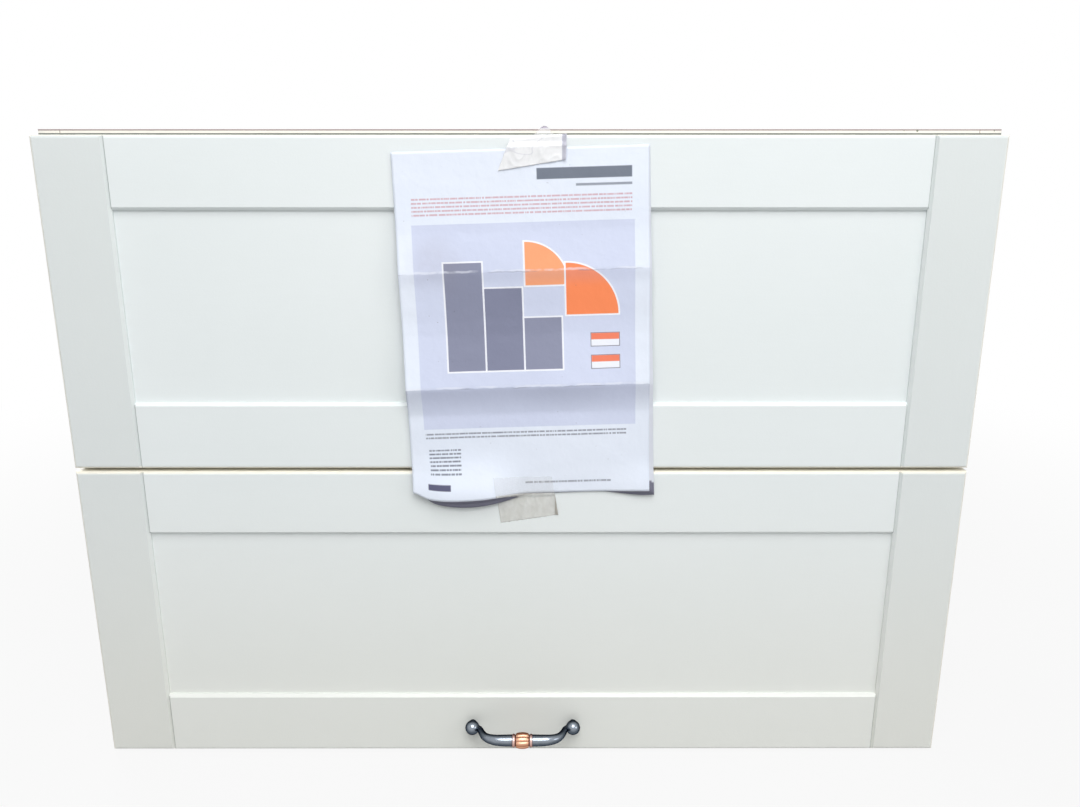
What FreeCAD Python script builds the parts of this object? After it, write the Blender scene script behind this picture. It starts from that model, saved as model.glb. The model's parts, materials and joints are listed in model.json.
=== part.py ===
import FreeCAD, Part
import Sketcher
import math
import os
import re

# Bi-fold lift-up wall cabinet with two shaker flaps, lift arms and a bow handle.
# Frame: +Z up, +X to the right, the front faces -Y. The origin is the middle of the rear plane's
# bottom edge, so the wall is the plane y = 0 and the cabinet stands on z = 0. Millimetres.
# The flaps are drawn closed.

os.makedirs("parts", exist_ok=True)
doc = FreeCAD.newDocument("LiftUpCabinet")

# Driving dimensions
SIZES = {
    # carcase
    "cab_width": 800, "cab_height": 580, "cab_depth": 300, "board_thick": 18,
    "back_thick": 8, "back_inset": 14, "groove_depth": 6, "groove_slack": 0.2,
    "shelf_setback": 60, "shelf_slack": 1, "shelf_level": 281,
    "pin_radius": 2.5, "pin_depth": 9, "pin_reach": 8, "pin_inset": 37, "hole_pitch": 32,
    # flaps
    "flap_thick": 19, "flap_gap": 1.5, "seam_gap": 3, "top_reveal": 5, "bottom_reveal": 2,
    "side_reveal": 2, "rail_width": 60, "panel_thick": 7, "panel_recess": 4.5,
    "panel_groove": 8, "panel_slack": 0.5, "inner_bevel": 2.5, "edge_round": 3, "back_round": 1,
    "joint_vee": 0.8, "cut_over": 1,
    # axes of the two flaps and of the arms
    "axis_out": 3, "fold_in": 6, "arm_in": 33, "arm_down": 70,
    # cup hinges
    "hinge_inset": 160, "cup_radius": 17.5, "cup_depth": 12, "cup_drop": 22.5, "cup_wall": 1.2,
    "cup_flange": 1.2, "ear_pitch": 22.5, "ear_drop": 9.5, "ear_radius": 5.5,
    "arc_inner": 20, "arc_outer": 27, "arc_thick": 3, "arc_space": 0.4, "arc_back": 44,
    "arc_front": 18, "hinge_arm_width": 15, "hinge_arm_length": 62, "hinge_arm_deep": 9,
    "plate_thick": 3, "plate_length": 38, "plate_width": 52, "plate_setback": 37,
    "plate_hole_in": 8, "neck_run": 4.5, "neck_deep": 3.5, "arc_clear": 0.8,
    # seam hinges
    "knuckle_radius": 4, "seam_pin_radius": 2, "seam_pin_play": 0.06, "leaf_width": 54,
    "leaf_height": 26, "leaf_thick": 2, "leaf_start": 5.5, "knuckle_space": 0.4,
    # lift units and arms
    "unit_rear": 117, "unit_height": 134, "unit_front": 15, "unit_drop": 14,
    "unit_base": 2.5, "unit_deep": 22, "unit_wall": 2, "unit_corner": 10,
    "unit_hole_in": 12, "unit_hole_rim": 7, "unit_hole_mid": 60,
    "spring_radius": 7.2, "spring_pitch": 15.8, "spring_first": 10.3, "spring_front": 26,
    "spring_rear": 14, "seat_thick": 3, "seat_rim": 1.4, "seat_gap": 0.3,
    "crank_half": 6, "crank_reach": 26, "crank_space": 5, "crank_boss": 10,
    "shaft_radius": 6, "shaft_play": 0.06, "arm_layer": 2, "arm_thick": 7, "hub_radius": 14,
    "arm_tube_width": 15, "arm_rod_width": 10, "arm_rod_thick": 4, "tube_share": 0.62,
    "eye_radius": 8, "tip_pin_radius": 3, "tip_pin_play": 0.2, "bracket_thick": 2.5,
    "bracket_width": 34, "bracket_height": 52, "bracket_gap": 1.5,
    "bracket_hole_in": 10, "bracket_hole_out": 24, "bracket_hole_up": 16,
    "clip_thick": 1.2, "clip_rim": 2,
    # handle
    "handle_centres": 96, "handle_level": 30, "ball_radius": 6.75, "ball_off": 8,
    "bow_off": 28, "bow_neck_radius": 2.8, "bow_mid_radius": 5.35, "bead_radius": 7.4,
    "bead_width": 12.7, "bead_ribs": 8, "bead_groove": 0.9, "collar_radius": 5.9,
    "collar_width": 4, "foot_radius": 4.2,
    # fixings
    "screw_radius": 1.75, "screw_length": 13, "head_radius": 3.6, "head_height": 1.8,
    "bolt_radius": 2, "bolt_play": 0.3, "bolt_head": 4.2,
    # wall hangers
    "hanger_deep": 46, "hanger_height": 50, "hanger_wide": 17, "hanger_drop": 16,
    "hook_wide": 13, "hook_thick": 3, "hook_nose": 14, "hook_slot": 1.5,
    # leaflet and tapes
    "leaf_wide": 210, "leaf_tall": 297, "paper_thick": 0.9, "paper_gap": 0.3,
    "paper_x": 4.5, "paper_z": 416, "paper_turn": 1.7, "tape_thick": 0.3,
    "tape_wide": 40, "tape_drop": 19, "low_tape_wide": 52, "low_tape_drop": 22,
    # small buffers
    "buffer_radius": 4.5, "buffer_gap": 0.3,
}
sheet = doc.addObject("Spreadsheet::Sheet", "Sizes")
for row, (alias, number) in enumerate(SIZES.items(), start=1):
    sheet.set(f"A{row}", alias)
    sheet.set(f"B{row}", str(number))
    sheet.setAlias(f"B{row}", alias)
doc.recompute()

# Places that several pieces share, as formulas on the sheet
HALF = "(cab_width / 2)"
INNER = "(cab_width / 2 - board_thick)"
FRONT = "(-cab_depth)"
FLAP_IN = "(-cab_depth - flap_gap)"
FLAP_OUT = "(-cab_depth - flap_gap - flap_thick)"
FLAP_HALF = "(cab_width / 2 - side_reveal)"
STILE_IN = "(cab_width / 2 - side_reveal - rail_width)"
FLAP_TALL = "((cab_height - top_reveal - bottom_reveal - seam_gap) / 2)"
FLAP_TOP = "(cab_height - top_reveal)"
SEAM = f"(bottom_reveal + {FLAP_TALL} + seam_gap / 2)"
PANEL_OUT = f"({FLAP_OUT} + panel_recess)"
PANEL_IN = f"({FLAP_OUT} + panel_recess + panel_thick)"
BACK_FACE = "(-back_inset - back_thick)"
TOP_UNDER = "(cab_height - board_thick)"
# the four pivots: flap, seam, arm foot and arm tip
LIFT_Y = "(-cab_depth - axis_out)"
LIFT_Z = FLAP_TOP
FOLD_Y = f"({FLAP_IN} + fold_in)"
FOLD_Z = SEAM
ARM_Y = f"({LIFT_Y} + arm_in)"
ARM_Z = f"({LIFT_Z} - arm_down)"
TIP_Y = f"({FOLD_Y} + arm_in)"
TIP_Z = f"({FOLD_Z} - arm_down)"
HANDLE_Z = "(bottom_reveal + handle_level)"
# layers from the side panel inwards: base plate, housing, arm, bracket ear
UNIT_FACE = f"({INNER} - unit_base)"
HOUSING_FACE = f"({INNER} - unit_base - unit_deep)"
ARM_OUTER = f"({HOUSING_FACE} - arm_layer)"
ARM_INNER = f"({HOUSING_FACE} - arm_layer - arm_thick)"
EAR_OUTER = f"({ARM_INNER} - bracket_gap)"
EAR_INNER = f"({ARM_INNER} - bracket_gap - bracket_thick)"

SIDES = (("left", -1), ("right", 1))
nodes = {}


def formula(text):
    """A formula for a property: each word with an underscore is a cell of the sheet."""
    return re.sub(r"\b([a-z]+(?:_[a-z]+)+)\b", r"Sizes.\1", str(text))


def value(text):
    """The number that a formula gives now."""
    return float(sheet.evalExpression(formula(text)))


def bind(thing, **formulas):
    """Bind properties to formulas on the sheet; two underscores stand for a dot."""
    for prop, text in formulas.items():
        thing.setExpression(prop.replace("__", "."), formula(text))
    return thing


def place(thing, x, y, z):
    return bind(thing, Placement__Base__x=x, Placement__Base__y=y, Placement__Base__z=z)


def box(name, x0, x1, y0, y1, z0, z1):
    """A block between two corners."""
    block = doc.addObject("Part::Box", name)
    bind(block, Length=f"({x1}) - ({x0})", Width=f"({y1}) - ({y0})", Height=f"({z1}) - ({z0})")
    return place(block, x0, y0, z0)


def span(side, x0, x1):
    """The x range of a right-hand piece, or its mirror image on the left."""
    return (x0, x1) if side > 0 else (f"-({x1})", f"-({x0})")


def side_box(side, name, x0, x1, y0, y1, z0, z1):
    low, high = span(side, x0, x1)
    return box(name, low, high, y0, y1, z0, z1)


def rod(name, axis, x, y, z, radius, length):
    """A cylinder that runs from (x, y, z) along +X, +Y or +Z."""
    bar = doc.addObject("Part::Cylinder", name)
    bind(bar, Radius=radius, Height=length)
    turns = {"x": (FreeCAD.Vector(0, 1, 0), 90), "y": (FreeCAD.Vector(-1, 0, 0), 90),
             "z": (FreeCAD.Vector(0, 0, 1), 0)}
    bar.Placement = FreeCAD.Placement(FreeCAD.Vector(), FreeCAD.Rotation(*turns[axis]))
    return place(bar, x, y, z)


def side_rod(side, name, x0, x1, y, z, radius):
    low, high = span(side, x0, x1)
    return rod(name, "x", low, y, z, radius, f"({high}) - ({low})")


def joined(name, pieces):
    """Several pieces as one solid."""
    whole = doc.addObject("Part::MultiFuse", name)
    whole.Shapes = pieces
    whole.Refine = True
    return whole


def grouped(name, pieces):
    """Several separate solids in one node."""
    group = doc.addObject("Part::Compound", name)
    group.Links = pieces
    return group


def carved(name, base, tools):
    """A piece with holes or slots."""
    result = doc.addObject("Part::Cut", name)
    result.Base = base
    result.Tool = tools[0] if len(tools) == 1 else grouped(f"{name}_tools", tools)
    result.Refine = True
    return result


def rounded(name, base, radius, chosen):
    """Round the edges of base that chosen(edge) picks."""
    doc.recompute()
    picked = [number for number, edge in enumerate(base.Shape.Edges, start=1) if chosen(edge)]
    if not picked:
        raise RuntimeError(f"{name}: no edge to round")
    result = doc.addObject("Part::Fillet", name)
    result.Base = base
    size = value(radius)
    result.Edges = [(number, size, size) for number in picked]
    return result


def plane_of(body, role):
    return next(item for item in body.Origin.OriginFeatures if item.Role == role)


def sketch_on(body, role, corners, offset="0"):
    """A closed sketch of straight lines, each corner held by two formulas."""
    drawing = body.newObject("Sketcher::SketchObject", f"{body.Name}_sketch")
    drawing.AttachmentSupport = (plane_of(body, role), [""])
    drawing.MapMode = "FlatFace"
    bind(drawing, AttachmentOffset__Base__z=offset)
    spots = [FreeCAD.Vector(value(u), value(v), 0) for u, v in corners]
    for first, second in zip(spots, spots[1:] + spots[:1]):
        drawing.addGeometry(Part.LineSegment(first, second), False)
    count = len(corners)
    for number, (u, v) in enumerate(corners):
        drawing.addConstraint(Sketcher.Constraint("Coincident", number - 1 if number else count - 1, 2,
                                                  number, 1))
        along = drawing.addConstraint(Sketcher.Constraint("DistanceX", number, 1, value(u)))
        drawing.setExpression(f"Constraints[{along}]", formula(u))
        across = drawing.addConstraint(Sketcher.Constraint("DistanceY", number, 1, value(v)))
        drawing.setExpression(f"Constraints[{across}]", formula(v))
    return drawing


def padded(body, drawing, length):
    pad = body.newObject("PartDesign::Pad", f"{body.Name}_pad")
    pad.Profile = drawing
    bind(pad, Length=length)
    return pad


def softened(body, radius, chosen):
    """Round the edges of a body's tip that chosen(edge) picks."""
    doc.recompute()
    base = body.Tip
    names = [f"Edge{number}" for number, edge in enumerate(base.Shape.Edges, start=1)
             if chosen(edge)]
    if not names:
        raise RuntimeError(f"{body.Name}: no edge to round")
    fillet = body.newObject("PartDesign::Fillet", f"{body.Name}_round")
    fillet.Base = (base, names)
    bind(fillet, Radius=radius)
    return fillet


def bevelled(body, size, chosen):
    """Bevel the edges of a body's tip that chosen(edge) picks."""
    doc.recompute()
    base = body.Tip
    names = [f"Edge{number}" for number, edge in enumerate(base.Shape.Edges, start=1)
             if chosen(edge)]
    if not names:
        raise RuntimeError(f"{body.Name}: no edge to bevel")
    bevel = body.newObject("PartDesign::Chamfer", f"{body.Name}_bevel")
    bevel.Base = (base, names)
    bind(bevel, Size=size)
    return bevel


def near(first, second):
    return abs(first - second) < 0.01


def keep(thing, label):
    """Give a finished sub-part its name."""
    thing.Label = label
    nodes[label] = thing
    return thing


# Fixings: every hole is cut from the same values as the screw in it
def screw(name, axis, direction, x, y, z, length="screw_length", radius="screw_radius",
          head="head_radius"):
    """A pan-head screw: its head starts at (x, y, z) and its shank runs along the direction."""
    step = {"x": (1, 0, 0), "y": (0, 1, 0), "z": (0, 0, 1)}[axis]
    spot = [x, y, z]

    def run(start, size):
        back = start if direction > 0 else f"-({start}) - ({size})"
        return [f"({part}) + {unit} * ({back})" if unit else part for part, unit in zip(spot, step)]
    crown = rod(f"{name}_head", axis, *run("-head_height", "head_height"), head, "head_height")
    shank = rod(f"{name}_shank", axis, *run("0", length), radius, length)
    return joined(name, [crown, shank])


def hole(name, axis, direction, x, y, z, length="screw_length", radius="screw_radius"):
    """The hole that the shank of such a screw fills."""
    spot = {"x": x, "y": y, "z": z}
    if direction < 0:
        spot[axis] = f"({spot[axis]}) - ({length})"
    return rod(name, axis, spot["x"], spot["y"], spot["z"], radius, length)


screws = {"carcase": [], "upper_flap": [], "lower_flap": []}
holes = {}


def fix(owner, layers, name, axis, direction, x, y, z):
    """A screw through a plate into a board; its head sits at (x, y, z) on the plate."""
    screws[owner].append(screw(f"{name}_screw", axis, direction, x, y, z))
    passage = hole(f"{name}_hole", axis, direction, x, y, z)
    for layer in layers:
        holes.setdefault(layer, []).append(passage)


# Carcase boards
def carcase_boards():
    """Sides, top, bottom, back and shelf as uncut blocks, by name."""
    boards = {}
    for side_name, side in SIDES:
        boards[f"side_panel_{side_name}"] = side_box(
            side, f"side_block_{side_name}", INNER, HALF, FRONT, "0", "0", "cab_height")
        holes[f"side_panel_{side_name}"] = [side_box(
            side, f"side_groove_{side_name}", INNER, f"{INNER} + groove_depth", BACK_FACE,
            "-back_inset", "board_thick - groove_depth", f"{TOP_UNDER} + groove_depth")]
    boards["top_panel"] = box("top_block", f"-{INNER}", INNER, FRONT, "0", TOP_UNDER, "cab_height")
    holes["top_panel"] = [box("top_groove", f"-{INNER}", INNER, BACK_FACE, "-back_inset",
                              TOP_UNDER, f"{TOP_UNDER} + groove_depth")]
    boards["bottom_panel"] = box("bottom_block", f"-{INNER}", INNER, FRONT, "0", "0", "board_thick")
    holes["bottom_panel"] = [box("bottom_groove", f"-{INNER}", INNER, BACK_FACE, "-back_inset",
                                 "board_thick - groove_depth", "board_thick")]
    reach = f"({INNER} + groove_depth - groove_slack)"
    boards["back_panel"] = box("back_block", f"-{reach}", reach, BACK_FACE, "-back_inset",
                               "board_thick - groove_depth + groove_slack",
                               f"{TOP_UNDER} + groove_depth - groove_slack")
    shelf_half = f"({INNER} - shelf_slack)"
    boards["shelf"] = box("shelf_block", f"-{shelf_half}", shelf_half,
                          "-cab_depth + shelf_setback", f"{BACK_FACE} - shelf_slack",
                          "shelf_level", "shelf_level + board_thick")
    return boards


def shelf_pins():
    """Four pegs under the shelf and the rows of holes that they can move to."""
    rows = (("front", "-cab_depth + shelf_setback + pin_inset"), ("rear", f"{BACK_FACE} - pin_inset"))
    pegs = []
    for side_name, side in SIDES:
        for row, y in rows:
            for step in (-2, -1, 0, 1, 2):
                z = f"shelf_level - pin_radius + {step} * hole_pitch"
                holes[f"side_panel_{side_name}"].append(side_rod(
                    side, f"pin_hole_{side_name}_{row}_{step + 2}", INNER,
                    f"{INNER} + pin_depth", y, z, "pin_radius"))
            pegs.append(side_rod(side, f"peg_{side_name}_{row}", f"{INNER} - pin_reach",
                                 f"{INNER} + pin_depth", y, "shelf_level - pin_radius", "pin_radius"))
    keep(grouped("pegs", pegs), "shelf_pins")


def buffers():
    """Soft buttons on the front edges that the lower flap closes on."""
    buttons = []
    for side_name, side in SIDES:
        for level_name, level in (("low", "board_thick"), ("high", f"{SEAM} - rail_width")):
            x = f"{side} * (cab_width / 2 - board_thick / 2)"
            buttons.append(rod(f"button_{side_name}_{level_name}", "y", x,
                               f"{FRONT} - flap_gap + buffer_gap", level, "buffer_radius",
                               "flap_gap - buffer_gap"))
    keep(grouped("buttons", buttons), "door_buffers")


def wall_hanger(side_name, side):
    """A hanger case in the top rear corner and its hook through the back panel."""
    top = f"({TOP_UNDER} - hanger_drop)"
    rear = BACK_FACE
    case = side_box(side, f"hanger_block_{side_name}", f"{INNER} - hanger_wide", INNER,
                    f"{rear} - hanger_deep", rear, f"{top} - hanger_height", top)
    case = rounded(f"hanger_soft_{side_name}", case, "edge_round",
                   lambda edge: near(edge.CenterOfMass.y, value(f"{rear} - hanger_deep"))
                   and near(edge.Length, value("hanger_wide")))
    middle = f"({INNER} - hanger_wide / 2)"
    level = f"({top} - hanger_height / 4)"
    low, high = f"{middle} - hook_wide / 2", f"{middle} + hook_wide / 2"
    start = f"({rear} - hanger_deep / 2)"
    strip = side_box(side, f"hook_strip_{side_name}", low, high, start,
                     "-hook_slot", f"{level} - hook_thick", level)
    nose = side_box(side, f"hook_nose_{side_name}", low, high, "-hook_slot - hook_thick",
                    "-hook_slot", f"{level} - hook_nose", level)
    slot = side_box(side, f"hook_slot_{side_name}", low, high, start, rear,
                    f"{level} - hook_thick", level)
    notch = side_box(side, f"hook_notch_{side_name}", f"{low} - hook_slot", f"{high} + hook_slot",
                     f"{rear} - cut_over", "-back_inset + cut_over", f"{level} - hook_nose - hook_slot",
                     f"{level} + hook_slot")
    holes.setdefault("back_panel", []).append(notch)
    case_name = f"cabinet_hanger_{side_name}"
    holes[case_name] = [slot]
    pending[case_name] = case
    keep(joined(f"hook_{side_name}", [strip, nose]), f"hanger_hook_{side_name}")
    for number, part_way in enumerate((0.25, 0.75)):
        fix("carcase", (case_name, f"side_panel_{side_name}"), f"hanger_{side_name}_{number}",
            "x", side, f"{side} * ({INNER} - hanger_wide / 4)", f"{rear} - {part_way} * hanger_deep",
            f"{top} - 0.75 * hanger_height")
        seat_pocket(case_name, f"hanger_{side_name}_{number}", side,
                    f"{rear} - {part_way} * hanger_deep", f"{top} - 0.75 * hanger_height")


def seat_pocket(case_name, name, side, y, z):
    """A round pocket that lets a screw head sit inside the hanger case."""
    holes[case_name].append(side_rod(side, f"{name}_pocket", f"{INNER} - hanger_wide - cut_over",
                                     f"{INNER} - hanger_wide / 4", y, z, "head_radius + bolt_play"))


# Lift units
UNIT_Y0 = "(-cab_depth + unit_front)"
UNIT_Y1 = "(-unit_rear)"
UNIT_Z1 = f"({TOP_UNDER} - unit_drop)"
UNIT_Z0 = f"({TOP_UNDER} - unit_drop - unit_height)"


def crosswise(edge):
    """True for a straight edge that runs along X."""
    ends = edge.Vertexes
    return len(ends) == 2 and near(ends[0].Y, ends[1].Y) and near(ends[0].Z, ends[1].Z)


def lift_unit(side_name, side):
    """Base plate, cover and springs of a lift unit on the side panel's inner face."""
    plate = rounded(f"base_soft_{side_name}", side_box(
        side, f"base_block_{side_name}", UNIT_FACE, INNER, UNIT_Y0, UNIT_Y1, UNIT_Z0, UNIT_Z1),
        "unit_corner", crosswise)
    base_name = f"lift_base_{side_name}"
    pending[base_name] = plate
    bore = side_rod(side, f"shaft_bore_{side_name}", f"{HOUSING_FACE} - cut_over", f"{INNER} + cut_over",
                    ARM_Y, ARM_Z, "shaft_radius + shaft_play")
    holes[base_name] = [bore]
    shell = rounded(f"cover_soft_{side_name}", side_box(
        side, f"cover_block_{side_name}", HOUSING_FACE, UNIT_FACE, UNIT_Y0, UNIT_Y1,
        UNIT_Z0, UNIT_Z1), "unit_corner", crosswise)
    space = rounded(f"cover_space_soft_{side_name}", side_box(
        side, f"cover_space_{side_name}", f"{HOUSING_FACE} + unit_wall", f"{UNIT_FACE} + cut_over",
        f"{UNIT_Y0} + unit_wall", f"{UNIT_Y1} - unit_wall", f"{UNIT_Z0} + unit_wall",
        f"{UNIT_Z1} - unit_wall"), "unit_corner - unit_wall", crosswise)
    keep(carved(f"cover_{side_name}", shell, [space, bore]), f"lift_cover_{side_name}")
    springs = []
    front, rear = f"({UNIT_Y0} + spring_front)", f"({UNIT_Y1} - spring_rear)"
    spring_x = f"{side} * ({UNIT_FACE} - unit_deep / 2)"
    for number in range(3):
        level = f"{UNIT_Z0} + spring_first + {number} * spring_pitch"
        springs.append(rod(f"spring_{side_name}_{number}", "y", spring_x, front, level,
                           "spring_radius", f"{rear} - {front}"))
    ends = [side_box(side, f"spring_seat_{side_name}_{number}",
                     f"{HOUSING_FACE} + unit_wall + seat_gap", UNIT_FACE, y, f"{y} + seat_thick",
                     f"{UNIT_Z0} + unit_wall + seat_gap",
                     f"{UNIT_Z0} + spring_first + 2 * spring_pitch + spring_radius + seat_rim")
            for number, y in enumerate((f"({front} - seat_thick)", rear))]
    keep(joined(f"springs_{side_name}", springs + ends), f"spring_pack_{side_name}")
    for number, (y, z) in enumerate((
            (f"{UNIT_Y0} + unit_hole_in", f"{UNIT_Z0} + unit_hole_in"),
            (f"{UNIT_Y1} - unit_hole_rim", f"{UNIT_Z1} - unit_hole_in"),
            (f"{UNIT_Y0} + unit_hole_mid", f"{UNIT_Z1} - unit_hole_rim"))):
        fix("carcase", (base_name, f"side_panel_{side_name}"), f"unit_{side_name}_{number}", "x",
            side, f"{side} * {UNIT_FACE}", y, z)


ARM_LONG = f"(sqrt(({TIP_Y} - {ARM_Y})^2 + ({ARM_Z} - {TIP_Z})^2))"
ARM_LEAN = f"(atan2({TIP_Y} - {ARM_Y}; {ARM_Z} - {TIP_Z}))"


def hang(thing):
    """Move a piece drawn below the origin to the arm's pivot, leaning along the arm."""
    thing.Placement = FreeCAD.Placement(FreeCAD.Vector(), FreeCAD.Rotation(FreeCAD.Vector(1, 0, 0), 1))
    place(thing, "0", ARM_Y, ARM_Z)
    return bind(thing, Placement__Rotation__Angle=ARM_LEAN)


def lift_arm(side_name, side):
    """The swinging arm: a tube with a hub, the rod that slides in it, and the shaft."""
    zero = "0"
    slot = ("-arm_rod_width / 2", "arm_rod_width / 2")
    rod_x = (f"{ARM_INNER} + (arm_thick - arm_rod_thick) / 2",
             f"{ARM_OUTER} - (arm_thick - arm_rod_thick) / 2")
    hub = side_rod(side, f"hub_{side_name}", ARM_INNER, ARM_OUTER, zero, zero, "hub_radius")
    tube = side_box(side, f"tube_{side_name}", ARM_INNER, ARM_OUTER, "-arm_tube_width / 2",
                    "arm_tube_width / 2", f"-{ARM_LONG} * tube_share", zero)
    bore = side_rod(side, f"hub_bore_{side_name}", f"{ARM_INNER} - cut_over", f"{ARM_OUTER} + cut_over",
                    zero, zero, "shaft_radius")
    channel = side_box(side, f"tube_channel_{side_name}", *rod_x, *slot,
                       f"-{ARM_LONG} * tube_share - cut_over", "-hub_radius - arm_tube_width")
    keep(hang(carved(f"arm_{side_name}", joined(f"arm_blank_{side_name}", [hub, tube]),
                     [bore, channel])), f"lift_arm_{side_name}")
    inner = side_box(side, f"rod_{side_name}", *rod_x, *slot, f"-{ARM_LONG}",
                     f"-{ARM_LONG} * tube_share / 2")
    eye = side_rod(side, f"eye_{side_name}", ARM_INNER, ARM_OUTER, zero, f"-{ARM_LONG}", "eye_radius")
    eye_bore = side_rod(side, f"eye_bore_{side_name}", f"{ARM_INNER} - cut_over", f"{ARM_OUTER} + cut_over",
                        zero, f"-{ARM_LONG}", "tip_pin_radius + tip_pin_play")
    keep(hang(carved(f"arm_end_{side_name}", joined(f"arm_end_blank_{side_name}", [inner, eye]),
                     [eye_bore])), f"lift_rod_{side_name}")
    shaft = side_rod(side, f"shaft_core_{side_name}", f"{ARM_INNER} - arm_layer",
                     f"{INNER} - bolt_play", ARM_Y, ARM_Z, "shaft_radius")
    cap = side_rod(side, f"shaft_cap_{side_name}", f"{ARM_INNER} - arm_layer", ARM_INNER, ARM_Y,
                   ARM_Z, "shaft_radius + clip_rim")
    crank_x = (f"{HOUSING_FACE} + unit_wall + crank_space", f"{UNIT_FACE} - crank_space")
    crank_top = f"({ARM_Z} + crank_reach)"
    crank = side_box(side, f"crank_{side_name}", *crank_x, f"{ARM_Y} - crank_half",
                     f"{ARM_Y} + crank_half", ARM_Z, crank_top)
    crank_end = side_rod(side, f"crank_end_{side_name}", *crank_x, ARM_Y, crank_top, "crank_half")
    crank_hub = side_rod(side, f"crank_hub_{side_name}", *crank_x, ARM_Y, ARM_Z, "crank_boss")
    keep(joined(f"shaft_{side_name}", [shaft, cap, crank, crank_end, crank_hub]),
         f"lift_shaft_{side_name}")


def arm_bracket(side_name, side):
    """The bracket on the lower flap and the pin that the arm's eye turns on."""
    name = f"arm_bracket_{side_name}"
    plate = side_box(side, f"bracket_plate_{side_name}", EAR_INNER,
                     f"{EAR_INNER} + bracket_width", FLAP_IN, f"{FLAP_IN} + bracket_thick",
                     f"{TIP_Z} - bracket_height / 2", f"{TIP_Z} + bracket_height / 2")
    low, high = span(side, EAR_INNER, EAR_OUTER)
    body = doc.addObject("PartDesign::Body", f"ear_{side_name}")
    padded(body, sketch_on(body, "YZ_Plane", (
        (FLAP_IN, f"{TIP_Z} - bracket_height / 2"), (TIP_Y, f"{TIP_Z} - eye_radius"),
        (TIP_Y, f"{TIP_Z} + eye_radius"), (FLAP_IN, f"{TIP_Z} + bracket_height / 2")), low),
        f"({high}) - ({low})")
    nose = side_rod(side, f"ear_nose_{side_name}", EAR_INNER, EAR_OUTER, TIP_Y, TIP_Z, "eye_radius")
    pin = side_rod(side, f"tip_pin_{side_name}", EAR_INNER, f"{ARM_OUTER} + bolt_play",
                   TIP_Y, TIP_Z, "tip_pin_radius")
    clip = side_rod(side, f"tip_clip_{side_name}", f"{ARM_OUTER} + bolt_play",
                    f"{ARM_OUTER} + bolt_play + clip_thick", TIP_Y, TIP_Z,
                    "tip_pin_radius + clip_rim")
    pending[name] = joined(f"bracket_blank_{side_name}", [plate, body, nose, pin, clip])
    corners = [(across, up) for up in (1, -1) for across in ("bracket_hole_in", "bracket_hole_out")]
    for number, (across, up) in enumerate(corners):
        fix("lower_flap", (name, f"lower_stile_{side_name}"), f"bracket_{side_name}_{number}", "y",
            -1, f"{side} * ({EAR_OUTER} + {across})", f"{FLAP_IN} + bracket_thick",
            f"{TIP_Z} + {up} * bracket_hole_up")


pending = {}


# Flaps
def flap(name, low):
    """One shaker flap: two stiles, two rails with stub tenons, and a flat panel in a groove."""
    high = f"({low} + {FLAP_TALL})"
    for side_name, side in SIDES:
        body = doc.addObject("PartDesign::Body", f"{name}_stile_body_{side_name}")
        corners = [(STILE_IN, FLAP_IN), (FLAP_HALF, FLAP_IN), (FLAP_HALF, FLAP_OUT),
                   (f"{STILE_IN} + inner_bevel", FLAP_OUT), (STILE_IN, f"{FLAP_OUT} + inner_bevel"),
                   (STILE_IN, PANEL_OUT), (f"{STILE_IN} + panel_groove", PANEL_OUT),
                   (f"{STILE_IN} + panel_groove", PANEL_IN), (STILE_IN, PANEL_IN)]
        if side < 0:
            corners = [(f"-({u})", v) for u, v in corners]
        padded(body, sketch_on(body, "XY_Plane", corners, low), FLAP_TALL)
        softened(body, "edge_round", lambda edge: near(edge.CenterOfMass.y, value(FLAP_OUT))
                 and (near(abs(edge.CenterOfMass.x), value(FLAP_HALF))
                      or near(edge.CenterOfMass.z, value(low))
                      or near(edge.CenterOfMass.z, value(high))))
        pending[f"{name}_stile_{side_name}"] = body
    half = STILE_IN
    for rail, edge_z, away in (("top", high, -1), ("bottom", low, 1)):
        inner = f"({edge_z} + {away} * rail_width)"
        groove = f"({edge_z} + {away} * (rail_width - panel_groove))"
        body = doc.addObject("PartDesign::Body", f"{name}_rail_body_{rail}")
        padded(body, sketch_on(body, "YZ_Plane", [
            (FLAP_IN, edge_z), (FLAP_OUT, edge_z), (FLAP_OUT, f"{inner} - {away} * inner_bevel"),
            (f"{FLAP_OUT} + inner_bevel", inner), (PANEL_OUT, inner), (PANEL_OUT, groove),
            (PANEL_IN, groove), (PANEL_IN, inner), (FLAP_IN, inner)], f"-{half}"), f"2 * {half}")
        bevelled(body, "joint_vee", lambda edge: near(edge.CenterOfMass.y, value(FLAP_OUT))
                 and near(abs(edge.CenterOfMass.x), value(half)))
        softened(body, "edge_round", lambda edge: near(edge.CenterOfMass.y, value(FLAP_OUT))
                 and near(edge.CenterOfMass.z, value(edge_z)))
        tenon_low, tenon_high = (groove, edge_z) if away < 0 else (edge_z, groove)
        tenons = [side_box(side, f"{name}_{rail}_tenon_{side_name}", half,
                           f"{half} + panel_groove - panel_slack", PANEL_OUT, PANEL_IN,
                           tenon_low, tenon_high) for side_name, side in SIDES]
        pending[f"{name}_rail_{rail}"] = joined(f"{name}_{rail}_rail_blank", [body] + tenons)
    reach = f"({half} + panel_groove - panel_slack)"
    keep(box(f"{name}_panel_block", f"-{reach}", reach, PANEL_OUT, PANEL_IN,
             f"{low} + rail_width - panel_groove + panel_slack",
             f"{high} - rail_width + panel_groove - panel_slack"), f"{name}_panel")


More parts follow.
